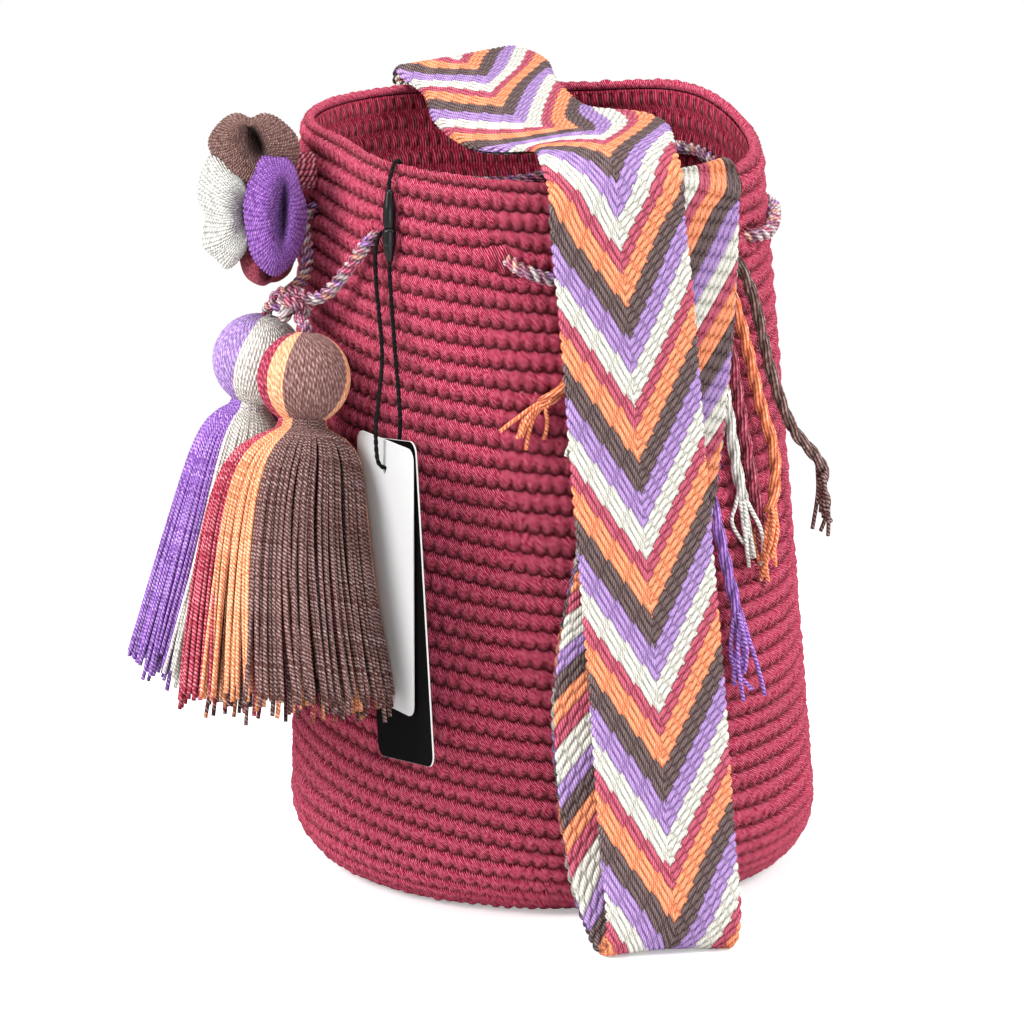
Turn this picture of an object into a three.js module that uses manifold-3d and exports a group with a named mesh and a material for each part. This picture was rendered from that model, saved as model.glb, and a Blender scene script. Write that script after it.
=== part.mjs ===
// Crocheted bucket bag with a woven shoulder strap, a threaded drawstring, two tassels,
// a rosette and two card tags. Millimetres, +Z up, origin at the centre of the base's underside.
// Azimuths are in degrees from the front (-Y) towards +X, measured round the bag's own axis.
import * as THREE from 'three';
import { mergeVertices } from 'three/addons/utils/BufferGeometryUtils.js';
import Module from 'manifold-3d';

const wasm = await Module();
wasm.setup();

// Bag body
const HEIGHT = 315;            // rim above the floor, mean
const BASE_RADIUS = 113.5;     // outer wall carried down to the floor
const MOUTH_RADIUS = 98;       // outer wall at the rim
const WALL = 5;                // thickness of the crocheted wall
const BASE_THICKNESS = 6;      // thickness of the crocheted base
const BASE_ROUND = 30;         // radius of the turn from base to wall
const LEAN = 11.5;             // how far the rim centre has sunk sideways
const LEAN_AZIMUTH = -30;
const RIM_SAG = 9;             // how far the strap pulls the rim down on its own side
const SAG_AZIMUTH = 100;
const RIM_PEAK = 11;           // how far the rim stands up at the back
const PEAK_AZIMUTH = 192;
const PEAK_SPREAD = 30;
const DENT = 10;               // how far the front panel is pulled in at the rim
const DENT_AZIMUTH = -4;
const DENT_SPREAD = 22;
const WALL_SEGMENTS = 48;
const WALL_ROWS = 7;

// Drawstring
const CORD = 6;                // diameter
const EYELET_COUNT = 10;
const EYELET_DROP = 31;        // eyelets below the rim
const EYELET_WAVES = [         // how much lower the cord runs round an azimuth
  { azimuth: 252, spread: 25, lower: 10 },
  { azimuth: 188, spread: 22, lower: -8 },
];
const EYELET_TURN = 4;         // degrees either side of an eyelet in which the cord changes face
const CORD_GAP = 0.5;          // cord to wall
const SLEEVE_GAP = 0.45;       // clearance of a cord in what it passes through
const CORD_SIDES = 8;
const CORD_STEPS = 80;

// Knot and tassels
const KNOT = { azimuth: -2.9, standOff: 18.2, drop: 65.3, length: 26, breadth: 15 };
const STEM = 5;                // diameter of the cord above a tassel head
const STEM_STEPS = 6;
const HEAD_DIAMETER = 39;
const HEAD_LENGTH = 38;
const HEAD_POLE = 5;           // flat radius at either end of a head
const BINDING_DIAMETER = 20;
const BINDING_LENGTH = 6;
const SKIRT_NECK = 15;         // skirt diameter under the binding
const SKIRT_LENGTH = 108;
const TASSEL_SWINGS = [0, 15, 30, 45]; // degrees out from the wall that the knot leaves room for
const SEAT_GAP = 0.3;          // gap between pieces that touch

// Rosette
const ROSETTE_AZIMUTH = -15.7;
const ROSETTE_DROP = 27.3;
const ROSETTE_TIE = { diameter: 16, length: 16, rise: 12, seat: 1 };
const LOBE_GAP = 0.4;

// Shoulder strap
const STRAP_WIDTH = 55;
const STRAP_THICKNESS = 3.5;
const STRAP_STEPS = 2;         // steps between two stations of its route
const FACET_ROOM = 0.7;        // room for the wall's facets under a sewn strap end
const FRONT_ANCHOR = 93;       // azimuth of the strap end on the near side
const REAR_ANCHOR = -102;
const FRONT_END_DROP = 14;     // strap ends below the rim
const REAR_END_DROP = 20;

// Fringe
const FRINGE = 5.5;            // diameter of a fringe cord
const CROSSING_GAP = 1.35;     // fringe cord over the drawstring
const FRINGE_STEP = 15;        // length of one straight step of its tube

// Tags, their string and its seal
const STRING = 2;
const STRING_SIDES = 6;
const STRING_STEPS = 52;
const TAG_WIDTH = 52;
const WHITE_TAG_LENGTH = 112;
const BLACK_TAG_LENGTH = 134;
const TAG_THICKNESS = 0.8;
const TAG_CORNER = 5;
const TAG_HOLE = 4.6;          // diameter
const TAG_PLAY = 0.5;          // string above the middle of the hole that hangs on it
const TAG_HOLE_DROP = 12;      // hole below the top edge
const TAG_SPACING = 2;         // centre of one card to the centre of the other
const TAG_FACING = -3;         // azimuth the cards face
const TAG_HANG = { azimuth: 28.2, clear: 10.58, drop: 122.7 }; // clear of the wall at the lower end
const WHITE_TAG_TURN = 0;
const BLACK_TAG_TURN = 7;      // degrees the lower end hangs outwards
const SEAL_AZIMUTH = 25;
const SEAL_STAND_OFF = 4;
const SEAL_TOP = 9;            // below the rim
const SEAL_BOTTOM = 39.2;
const SEAL_DIAMETER = 5.6;

const YARN = {
  rose: 0xb8446a, raspberry: 0xa8445a, lilac: 0x9a6abf, white: 0xdedcd7, orange: 0xf7b78e, brown: 0x79574f,
};
const yarn = (name) => new THREE.MeshStandardMaterial({ color: YARN[name], roughness: 0.95, metalness: 0 });
const blackPlastic = new THREE.MeshStandardMaterial({ color: 0x111113, roughness: 0.35, metalness: 0 });
const blackString = new THREE.MeshStandardMaterial({ color: 0x141416, roughness: 0.8, metalness: 0 });
const whiteCard = new THREE.MeshStandardMaterial({ color: 0xf0f0f0, roughness: 0.7, metalness: 0 });
const blackCard = new THREE.MeshStandardMaterial({ color: 0x19191a, roughness: 0.6, metalness: 0 });

// Places round the wall
const radians = THREE.MathUtils.degToRad;
const outward = (azimuth) => new THREE.Vector3(Math.sin(radians(azimuth)), -Math.cos(radians(azimuth)), 0);
const tangent = (azimuth) => new THREE.Vector3(Math.cos(radians(azimuth)), Math.sin(radians(azimuth)), 0);
const up = new THREE.Vector3(0, 0, 1);
const wallRadius = (height) => BASE_RADIUS + (MOUTH_RADIUS - BASE_RADIUS) * (height / HEIGHT);

// 1 at an azimuth, falling off to 0 on either side of it.
function bell(azimuth, middle, spread) {
  const apart = THREE.MathUtils.euclideanModulo(azimuth - middle + 180, 360) - 180;
  return Math.exp(-((apart / spread) ** 2));
}

// Moves a point of the upright bag to where it lies in the leaning, sagging one.
function settle(azimuth, radius, height) {
  const share = height / HEIGHT;
  const dent = DENT * bell(azimuth, DENT_AZIMUTH, DENT_SPREAD) * share ** 3;
  const peak = RIM_PEAK * bell(azimuth, PEAK_AZIMUTH, PEAK_SPREAD) * share ** 4;
  const sag = RIM_SAG * Math.cos(radians(azimuth - SAG_AZIMUTH)) * share ** 2;
  return outward(azimuth).multiplyScalar(radius - dent)
    .addScaledVector(outward(LEAN_AZIMUTH), LEAN * share)
    .setZ(height - sag + peak);
}

// A point at a stand-off from the wall's outer face, by its height or by its drop below the rim.
const offWall = (azimuth, standOff, height) => settle(azimuth, wallRadius(height) + standOff, height);
const hung = (azimuth, standOff, drop) => offWall(azimuth, standOff, HEIGHT - drop);

// A point over the mouth, in shares of the mouth's radius, at a lift above the rim.
const overMouth = (across, back, lift) => new THREE.Vector3(across * MOUTH_RADIUS, back * MOUTH_RADIUS, HEIGHT + lift)
  .addScaledVector(outward(LEAN_AZIMUTH), LEAN);

// Solids and booleans
function closed(geometry) {
  const bare = geometry.clone();
  bare.deleteAttribute('normal');
  bare.deleteAttribute('uv');
  return mergeVertices(bare, 1e-4);
}

function toSolid(geometry) {
  const merged = closed(geometry);
  return new wasm.Manifold(new wasm.Mesh({
    numProp: 3,
    vertProperties: new Float32Array(merged.attributes.position.array),
    triVerts: new Uint32Array(merged.index.array),
  }));
}

function fromSolid(solid) {
  const mesh = solid.getMesh();
  const geometry = new THREE.BufferGeometry();
  geometry.setAttribute('position', new THREE.BufferAttribute(mesh.vertProperties, 3));
  geometry.setIndex(new THREE.BufferAttribute(mesh.triVerts, 1));
  return geometry;
}

const cut = (geometry, cutters) => fromSolid(
  cutters.reduce((solid, cutter) => solid.subtract(toSolid(cutter)), toSolid(geometry)),
);

function tube(points, diameter, sides, steps) {
  const section = new THREE.Shape().absarc(0, 0, diameter / 2, 0, 2 * Math.PI);
  const path = new THREE.CatmullRomCurve3(points, false, 'centripetal');
  return new THREE.ExtrudeGeometry(section, { steps, curveSegments: sides / 2, extrudePath: path });
}

// A profile of [radius, height] points turned about Z.
function turned(profile, segments) {
  const points = profile.map(([radius, height]) => new THREE.Vector2(radius, height));
  return new THREE.LatheGeometry(points, segments).rotateX(Math.PI / 2);
}

// Points on an arc in the radius and height plane.
function arc(centreRadius, centreHeight, radius, from, to, count) {
  return Array.from({ length: count + 1 }, (_, i) => {
    const angle = radians(from + ((to - from) * i) / count);
    return [centreRadius + radius * Math.cos(angle), centreHeight + radius * Math.sin(angle)];
  });
}

function ellipsoid(halfAxes, grow = 0) {
  return new THREE.SphereGeometry(1, 14, 9)
    .rotateX(Math.PI / 2)
    .scale(halfAxes[0] + grow, halfAxes[1] + grow, halfAxes[2] + grow);
}

// Room round the end of a cord, for the piece that it goes into.
const endRoom = (point, diameter) => new THREE.SphereGeometry(diameter / 2 + 2 * SLEEVE_GAP, 8, 6).translate(...point);

const group = new THREE.Group();

function addMesh(name, geometry, material, parent = group) {
  const mesh = new THREE.Mesh(geometry, material);
  mesh.name = name;
  parent.add(mesh);
  return mesh;
}

// Drawstring: it weaves in and out through the eyelets, and both ends come out at the front
const knotCentre = hung(KNOT.azimuth, KNOT.standOff, KNOT.drop);
const eyeletHeight = (azimuth) => HEIGHT - EYELET_DROP
  - EYELET_WAVES.reduce((sum, wave) => sum + wave.lower * bell(azimuth, wave.azimuth, wave.spread), 0);
const threaded = (azimuth, standOff) => offWall(azimuth, standOff, eyeletHeight(azimuth));
const outsideRun = CORD / 2 + CORD_GAP;
const insideRun = -WALL - CORD / 2 - CORD_GAP;

function drawstringRoute() {
  const spacing = 360 / EYELET_COUNT;
  const points = [
    knotCentre.clone().addScaledVector(tangent(KNOT.azimuth), KNOT.length * 0.26).setZ(knotCentre.z + 3.4),
    hung(6.2, 12.5, 59),
    hung(12.2, 7, 46),
    hung(17, outsideRun + 0.6, 35),
  ];
  for (let i = 0; i < EYELET_COUNT; i += 1) {
    const eyelet = spacing / 2 + i * spacing;
    const [before, after] = i % 2 === 0 ? [outsideRun, insideRun] : [insideRun, outsideRun];
    if (i > 0) points.push(threaded(eyelet - EYELET_TURN, before));
    points.push(threaded(eyelet, -WALL / 2));
    if (i < EYELET_COUNT - 1) {
      points.push(threaded(eyelet + EYELET_TURN, after));
      points.push(threaded(eyelet + spacing / 3, after));
      points.push(threaded(eyelet + (2 * spacing) / 3, after));
    }
  }
  points.push(
    hung(-16.4, outsideRun + 0.6, 36),
    hung(-12.6, outsideRun + 1, 46.5),
    hung(-8.8, 8, 57),
    knotCentre.clone().addScaledVector(tangent(KNOT.azimuth), -KNOT.length * 0.18).setZ(knotCentre.z + 3),
  );
  return points;
}

const cordRoute = drawstringRoute();
const cordSleeve = tube(cordRoute, CORD + 2 * SLEEVE_GAP, CORD_SIDES, CORD_STEPS);
addMesh('drawstring', tube(cordRoute, CORD, CORD_SIDES, CORD_STEPS), yarn('lilac'));

// Tags and string: the string goes from the seal over the rim, out through the wall, through both
// cards and back up to the seal
const tagNormal = outward(TAG_FACING);
const tagHeight = HEIGHT - TAG_HANG.drop;
const tagLowEnd = tagHeight - WHITE_TAG_LENGTH + TAG_HOLE_DROP;
const tagStandOff = TAG_HANG.clear + wallRadius(tagLowEnd) - wallRadius(tagHeight);
const tagHole = offWall(TAG_HANG.azimuth, tagStandOff, tagHeight);
const sealTop = hung(SEAL_AZIMUTH, SEAL_STAND_OFF, SEAL_TOP);
const sealBottom = hung(SEAL_AZIMUTH, SEAL_STAND_OFF, SEAL_BOTTOM);
const sealAxis = sealTop.clone().sub(sealBottom).normalize();
const byHole = (off, rise) => tagHole.clone().addScaledVector(tagNormal, off).addScaledVector(up, rise);

const stringRoute = [
  sealTop.clone().addScaledVector(sealAxis, SEAT_GAP),
  sealTop.clone().addScaledVector(sealAxis, STRING),
  hung(25, 3.4, 4),
  hung(25, 1.6, 0.6),
  hung(24.7, -0.4, -1.4),
  hung(24.4, -WALL / 2, -1.9),
  hung(24, -WALL + 0.2, -1.3),
  hung(23.8, -WALL - 1.6, 1.4),
  hung(23.4, -WALL - 1.6, 12),
  hung(22.8, -WALL - 1.6, 22),
  hung(22.6, -WALL - 0.4, 27),
  hung(22.5, -WALL / 2, 30),
  hung(22.5, 0.4, 33),
  hung(22.6, 2.2, 38),
  hung(23.2, 4.4, 50),
  hung(25.2, 9.5, 78),
  byHole(5.2, 17),
  byHole(5, 8),
  byHole(4.1, 2.6),
  byHole(2.1, TAG_PLAY),
  byHole(-2.1, TAG_PLAY),
  byHole(-4.1, 2.6),
  byHole(-5, 8),
  hung(30.2, 11.6, 104),
  hung(27.6, 7.2, 74),
  hung(25.6, 4.8, 50),
  sealBottom.clone().addScaledVector(sealAxis, -STRING),
  sealBottom.clone().addScaledVector(sealAxis, -SEAT_GAP),
];
const stringSleeve = tube(stringRoute, STRING + 2 * SLEEVE_GAP, STRING_SIDES, STRING_STEPS);
addMesh('tag_string', tube(stringRoute, STRING, STRING_SIDES, STRING_STEPS), blackString);

// Body: base, wall and rim turned as one shell, settled, and pierced where the cords pass
function bagBody() {
  const rimRound = WALL / 2;
  const wallOut = (height) => [wallRadius(height), height];
  const rows = Array.from({ length: WALL_ROWS + 1 }, (_, i) => i / WALL_ROWS);
  const roundCentre = wallRadius(BASE_ROUND) - BASE_ROUND;
  const innerRound = BASE_ROUND - WALL;
  const climb = (from, to) => rows.map((share) => from + (to - from) * share);
  const profile = [
    [0, 0],
    [roundCentre * 0.55, 0],
    ...arc(roundCentre, BASE_ROUND, BASE_ROUND, -90, 0, 5),
    ...climb(BASE_ROUND, HEIGHT - rimRound).slice(1).map(wallOut),
    ...arc(wallRadius(HEIGHT) - rimRound, HEIGHT - rimRound, rimRound, 0, 180, 4).slice(1),
    ...climb(HEIGHT - rimRound, BASE_ROUND).slice(1).map((height) => [wallRadius(height) - WALL, height]),
    ...arc(roundCentre, BASE_THICKNESS + innerRound, innerRound, 0, -90, 4).slice(1),
    [0, BASE_THICKNESS],
  ];
  const geometry = turned(profile, WALL_SEGMENTS);
  const place = geometry.attributes.position;
  const point = new THREE.Vector3();
  for (let i = 0; i < place.count; i += 1) {
    point.fromBufferAttribute(place, i);
    const azimuth = THREE.MathUtils.radToDeg(Math.atan2(point.x, -point.y));
    place.setXYZ(i, ...settle(azimuth, Math.hypot(point.x, point.y), point.z));
  }
  return cut(geometry, [cordSleeve, stringSleeve]);
}
addMesh('bag_body', bagBody(), yarn('rose'));

// Tassels: a stem out of the knot, a wound head, a bound neck and a cut skirt. Each hangs from the first
// point of its stem and swings out towards the azimuth that it faces.
const tassels = [
  {
    side: 'left',
    facing: -13,
    stem: [[-7.4, 20, 67.4], [-9.6, 21.4, 68.4]],
    top: hung(-11.4, 21.6, 73.4),
    end: hung(-13.8, 42.6, 217),
    skirt: 66,
    colour: 'lilac',
  },
  {
    side: 'right',
    facing: 11,
    stem: [[1.4, 18.4, 69.4], [4.2, 20, 69.6]],
    top: hung(7.4, 21.6, 72.8),
    end: hung(14.8, 42.5, 218.8),
    skirt: 73,
    colour: 'brown',
  },
];

function tasselHead() {
  const radius = HEAD_DIAMETER / 2;
  const pole = Math.asin(HEAD_POLE / radius);
  const squash = HEAD_LENGTH / 2 / Math.cos(pole);
  const rings = 8;
  const profile = Array.from({ length: rings + 1 }, (_, i) => {
    const angle = Math.PI - pole - ((Math.PI - 2 * pole) * i) / rings;
    return [radius * Math.sin(angle), squash * Math.cos(angle) - HEAD_LENGTH / 2];
  });
  return turned([[0, -HEAD_LENGTH], ...profile, [0, 0]], 18);
}

function tasselBinding() {
  const radius = BINDING_DIAMETER / 2;
  const round = BINDING_LENGTH / 2;
  return turned([[0, -round], [radius - round, -round], ...arc(radius - round, 0, round, -90, 90, 4).slice(1),
    [0, round]], 16);
}

function tasselSkirt(diameter) {
  const neck = SKIRT_NECK / 2;
  const end = diameter / 2;
  const rings = 7;
  const flare = Array.from({ length: rings + 1 }, (_, i) => {
    const share = 1 - i / rings;
    return [neck + (end - neck) * share ** 0.9, -SKIRT_LENGTH * share];
  });
  return turned([[0, -SKIRT_LENGTH], ...flare, [0, 0]], 24);
}

const stemSleeves = [];
for (const { side, facing, stem, top, end, skirt: diameter, colour } of tassels) {
  const axis = end.clone().sub(top).normalize();
  const seat = [STEM / 2, SEAT_GAP].map((rise) => top.clone().addScaledVector(axis, -rise));
  const route = [...stem.map((place) => hung(...place)), ...seat];
  addMesh(`${side}_tassel_stem`, tube(route, STEM, 8, STEM_STEPS), yarn(colour));
  const pivot = route[0];
  stemSleeves.push(endRoom(pivot, STEM));
  for (const swing of TASSEL_SWINGS) {
    const turn = new THREE.Quaternion().setFromAxisAngle(tangent(facing).negate(), radians(swing));
    stemSleeves.push(tube(route, STEM + 2 * SLEEVE_GAP, 8, STEM_STEPS)
      .translate(...pivot.clone().negate()).applyQuaternion(turn).translate(...pivot));
  }
  const hang = new THREE.Group();
  hang.position.copy(top);
  hang.quaternion.setFromUnitVectors(up.clone().negate(), axis);
  group.add(hang);
  addMesh(`${side}_tassel_head`, tasselHead(), yarn(colour), hang);
  const binding = addMesh(`${side}_tassel_binding`, tasselBinding(), yarn(colour), hang);
  binding.position.z = -HEAD_LENGTH - SEAT_GAP - BINDING_LENGTH / 2;
  const skirt = addMesh(`${side}_tassel_skirt`, tasselSkirt(diameter), yarn(colour), hang);
  skirt.position.z = -HEAD_LENGTH - 2 * SEAT_GAP - BINDING_LENGTH;
}

// Knot: the two cord ends and the two stems go into it
const knotLump = (grow) => ellipsoid([KNOT.length / 2, KNOT.breadth / 2, KNOT.breadth / 2], grow)
  .rotateZ(radians(KNOT.azimuth))
  .translate(...knotCentre);

function knot() {
  const cordEnds = [cordRoute[0], cordRoute.at(-1)].map((point) => endRoom(point, CORD));
  return cut(knotLump(0), [cordSleeve, ...cordEnds, ...stemSleeves]);
}
addMesh('drawstring_knot', knot(), yarn('raspberry'));

// Rosette: padded lobes pressed together on a tie that holds them to the wall.
// place is [outward, sideways, upward] from the wall at the rosette's centre.
const lobes = [
  { name: 'lilac', place: [25, 21, -4], half: [16, 14, 20] },
  { name: 'brown', place: [30, 0, 22], half: [18, 20, 15] },
  { name: 'raspberry', place: [25, 0, -27], half: [16, 18, 13] },
  { name: 'white', place: [40, -4, -6], half: [12, 20, 21] },
  { name: 'orange', place: [25, -21, 0], half: [16, 14, 20] },
];

function onRosette(geometry, [out, aside, rise]) {
  const centre = hung(ROSETTE_AZIMUTH, out, ROSETTE_DROP)
    .addScaledVector(tangent(ROSETTE_AZIMUTH), aside)
    .addScaledVector(up, rise);
  return geometry.rotateZ(radians(ROSETTE_AZIMUTH - 90)).translate(...centre);
}

const tieMiddle = [ROSETTE_TIE.length / 2 + ROSETTE_TIE.seat, 0, ROSETTE_TIE.rise];
const tieShape = (grow) => onRosette(
  new THREE.CylinderGeometry(ROSETTE_TIE.diameter / 2 + grow, ROSETTE_TIE.diameter / 2 + grow,
    ROSETTE_TIE.length + 2 * grow, 16).rotateZ(Math.PI / 2),
  tieMiddle,
);
addMesh('rosette_tie', cut(tieShape(0), [cordSleeve]), yarn('raspberry'));
const pressed = [cordSleeve, tieShape(LOBE_GAP), knotLump(LOBE_GAP)];
for (const { name, place, half } of lobes) {
  addMesh(`rosette_${name}_lobe`, cut(onRosette(ellipsoid(half), place), pressed), yarn(name));
  pressed.push(onRosette(ellipsoid(half, LOBE_GAP), place));
}

// Shoulder strap: a flat band carried along its middle line. Each station has its middle, the plan
// heading of its width, the tilt of its far edge and how far it curves round the wall that it is sewn to.
const frontEnd = HEIGHT - FRONT_END_DROP;
const rearEnd = HEIGHT - REAR_END_DROP;
const strapSeat = STRAP_THICKNESS / 2 + SEAT_GAP + FACET_ROOM;
const strapStations = [
  [offWall(FRONT_ANCHOR, strapSeat, frontEnd), FRONT_ANCHOR, 0, 1],
  [offWall(FRONT_ANCHOR, strapSeat, frontEnd + 6), FRONT_ANCHOR, 0, 1],
  [offWall(FRONT_ANCHOR, strapSeat + 0.4, HEIGHT - 2), FRONT_ANCHOR, 0, 1],
  [offWall(FRONT_ANCHOR, 6, HEIGHT + 3), FRONT_ANCHOR, 0, 0.9],
  [offWall(FRONT_ANCHOR, 10, HEIGHT + 6), FRONT_ANCHOR, 0, 0.85],
  [offWall(FRONT_ANCHOR, 14, HEIGHT + 3), FRONT_ANCHOR, 0, 0.8],
  [offWall(92, 16, HEIGHT - 6), 92, 0, 0.7],
  [hung(91, 16.6, 27), 91, 0, 0.5],
  [offWall(86, 17.4, 0.72 * HEIGHT), 84, 0, 0.2],
  [offWall(79, 18.6, 0.51 * HEIGHT), 75, 0, 0],
  [offWall(73, 20.5, 0.32 * HEIGHT), 66, 0, 0],
  [offWall(73.6, 25.8, 0.11 * HEIGHT), 65, 0, 0],
  [offWall(75.2, 31.5, 14), 68, 0, 0],
  [offWall(75.8, 40, 4), 72, 0, 0],
  [offWall(76.4, 49.5, 4.2), 72, 0, 0],
  [offWall(76.7, 53.5, 16), 68, 0, 0],
  [offWall(76.9, 48.2, 0.14 * HEIGHT), 65, 0, 0],
  [offWall(77.3, 41, 0.33 * HEIGHT), 65.3, -1, 0],
  [offWall(77.1, 33.5, 0.595 * HEIGHT), 67.7, -1, 0],
  [offWall(76.8, 28.4, 0.86 * HEIGHT), 67.6, -1, 0],
  [hung(76.4, 25.5, 12), 69, 2, 0],
  [hung(76.8, 23.4, -4), 70, 5, 0],
  [hung(77.4, 11.5, -14.2), 73, 8, 0],
  [overMouth(0.63, -0.05, 8), 86, 12, 0],
  [overMouth(0.18, -0.097, 5.5), 82, 15, 0],
  [overMouth(-0.257, -0.017, 11), 90, 20, 0],
  [overMouth(-0.635, 0.142, 16), 84, 16, 0],
  [offWall(REAR_ANCHOR, -4, HEIGHT + 9), 78, 11, 0],
  [offWall(REAR_ANCHOR, 6, HEIGHT + 9.5), 78, 7, 0],
  [offWall(REAR_ANCHOR, 10, HEIGHT + 3), 78, 3, 0.3],
  [offWall(REAR_ANCHOR, 5.5, HEIGHT - 6), 78, 0, 0.7],
  [offWall(REAR_ANCHOR, strapSeat + 0.2, HEIGHT - 16), 78, 0, 1],
  [offWall(REAR_ANCHOR, strapSeat, rearEnd), 78, 0, 1],
];

function shoulderStrap() {
  const middle = new THREE.CatmullRomCurve3(strapStations.map(([point]) => point), false, 'centripetal');
  const widths = new THREE.CatmullRomCurve3(strapStations.map(([, heading, tilt]) => tangent(heading)
    .multiplyScalar(Math.cos(radians(tilt))).addScaledVector(up, Math.sin(radians(tilt)))), false, 'centripetal');
  const half = STRAP_WIDTH / 2;
  const thick = STRAP_THICKNESS / 2;
  const spread = [-half + thick, -half / 3, half / 3, half - thick];
  const section = [[-half, 0], ...spread.map((aside) => [aside, -thick]),
    [half, 0], ...spread.map((aside) => [-aside, thick])];
  const places = [];
  const steps = STRAP_STEPS * (strapStations.length - 1);
  for (let i = 0; i <= steps; i += 1) {
    const share = i / steps;
    const centre = middle.getPoint(share);
    const along = middle.getTangent(share);
    const across = widths.getPoint(share);
    across.addScaledVector(along, -across.dot(along)).normalize();
    const face = new THREE.Vector3().crossVectors(along, across);
    const station = share * (strapStations.length - 1);
    const [before, after] = [Math.floor(station), Math.ceil(station)].map((index) => strapStations[index][3]);
    const hug = THREE.MathUtils.lerp(before, after, station % 1);
    for (const [aside, off] of section) {
      const curl = (hug * aside ** 2) / (2 * MOUTH_RADIUS);
      places.push(centre.clone().addScaledVector(across, aside).addScaledVector(face, off + curl));
    }
  }
  const count = section.length;
  const faces = [];
  for (let i = 0; i < steps; i += 1) {
    for (let j = 0; j < count; j += 1) {
      const a = i * count + j;
      const b = i * count + ((j + 1) % count);
      faces.push(a, b, b + count, a, b + count, a + count);
    }
  }
  const last = steps * count;
  const facing = (j) => (count - j) % count;
  const capFace = (a, b, c) => faces.push(a, c, b, last + a, last + b, last + c);
  for (let j = 0; j < count / 2; j += 1) {
    if (facing(j + 1) !== j + 1) capFace(j, j + 1, facing(j + 1));
    if (facing(j) !== j) capFace(j, facing(j + 1), facing(j));
  }
  const geometry = new THREE.BufferGeometry().setFromPoints(places);
  geometry.setIndex(faces);
  return geometry;
}
addMesh('shoulder_strap', shoulderStrap(), yarn('lilac'));

// Fringe: the strap's strands, twisted into cords below each end. Each cord starts at its own place across
// the strap's end and goes on by [azimuth, stand-off, drop below the rim].
const overCord = outsideRun + CORD / 2 + CROSSING_GAP + FRINGE / 2;
const frontFringe = [
  ['brown', 22.8, [[110.5, 4.2, 30], [115, 5.5, 41], [118.6, 6.4, 56], [121.9, 8, 86], [126.5, 12, 114],
    [133.7, 16, 129], [137, 18, 138], [132.9, 16, 152], [128.8, 14, 160]]],
  ['orange', 15.2, [[106.3, 3.8, 37], [111, 4.4, 51], [114.4, 5, 70], [118.3, 6, 101], [120.2, 9, 125],
    [116, 10.5, 146], [109.6, 10, 163]]],
  ['raspberry', 7.6, [[102, 3.6, 40], [106.6, 3.8, 56], [109.9, 4, 77], [112, 4.2, 108], [115.2, 4.4, 143],
    [118.6, 5, 172]]],
  ['white', 0, [[96.4, 4.4, 36], [101.6, 3.8, 58], [105, 4, 78], [107, 4, 98], [109, 4.2, 129],
    [112.6, 4.4, 160]]],
  ['lilac', -7.6, [[88.8, overCord, 30], [91, 8, 49], [94.4, 4.2, 77], [97.6, 4, 109], [100.6, 4.5, 142],
    [103, 5, 168], [104.6, 6, 187], [105.5, 7, 204], [108.5, 9, 218], [112.5, 9, 229]]],
  ['short_white', -15.2, [[83.8, overCord + 0.3, 30], [80, 8, 49], [76, 4.4, 76], [70.5, 4.2, 101], [66.5, 4.5, 113],
    [62.6, 4.5, 118]]],
  ['short_orange', -22.8, [[78.6, overCord, 30], [75, 8, 48], [72, 4.4, 67], [68, 4.2, 80], [64, 4.5, 88.5],
    [60, 5, 93], [56.4, 5, 98.5], [54, 4.5, 113]]],
];
const rearFringe = [
  ['brown', 18, [[-114.6, 3.8, 56], [-116.4, 4.4, 92], [-115.4, 5, 124], [-118, 5.5, 152]]],
  ['orange', 9, [[-109, 3.6, 56], [-110.2, 4, 88], [-109.2, 4.6, 116], [-111, 5, 138]]],
  ['raspberry', 0, [[-103.8, 3.6, 58], [-104.4, 4, 94], [-103.2, 4.6, 126], [-104.6, 5, 156]]],
  ['white', -9, [[-98.4, 3.6, 54], [-97.8, 4, 84], [-98.4, 4.6, 110], [-97, 5, 132]]],
  ['lilac', -18, [[-93.6, 4.4, 36], [-92.4, 3.8, 62], [-91, 4, 90], [-91.8, 4.6, 120], [-89.4, 5, 148]]],
];

function addFringe(side, end, next, cords) {
  const [middle, heading] = end;
  const away = middle.clone().sub(next[0]).normalize();
  const across = tangent(heading).addScaledVector(away, -tangent(heading).dot(away)).normalize();
  const clear = outward(side === 'front' ? FRONT_ANCHOR : REAR_ANCHOR);
  for (const [name, aside, route] of cords) {
    const lift = FRINGE / 2 - STRAP_THICKNESS / 2 - aside ** 2 / (2 * MOUTH_RADIUS);
    const seat = middle.clone().addScaledVector(across, aside).addScaledVector(clear, lift);
    const starts = [SEAT_GAP, FRINGE / 2 + 1].map((drop) => seat.clone().addScaledVector(away, drop));
    const points = [...starts, ...route.map((place) => hung(...place))];
    const steps = Math.ceil(new THREE.CatmullRomCurve3(points).getLength() / FRINGE_STEP);
    addMesh(`${side}_fringe_${name}`, tube(points, FRINGE, CORD_SIDES, steps), yarn(name.replace('short_', '')));
  }
}
addFringe('front', strapStations[0], strapStations[1], frontFringe);
addFringe('rear', strapStations.at(-1), strapStations.at(-2), rearFringe);

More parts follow.
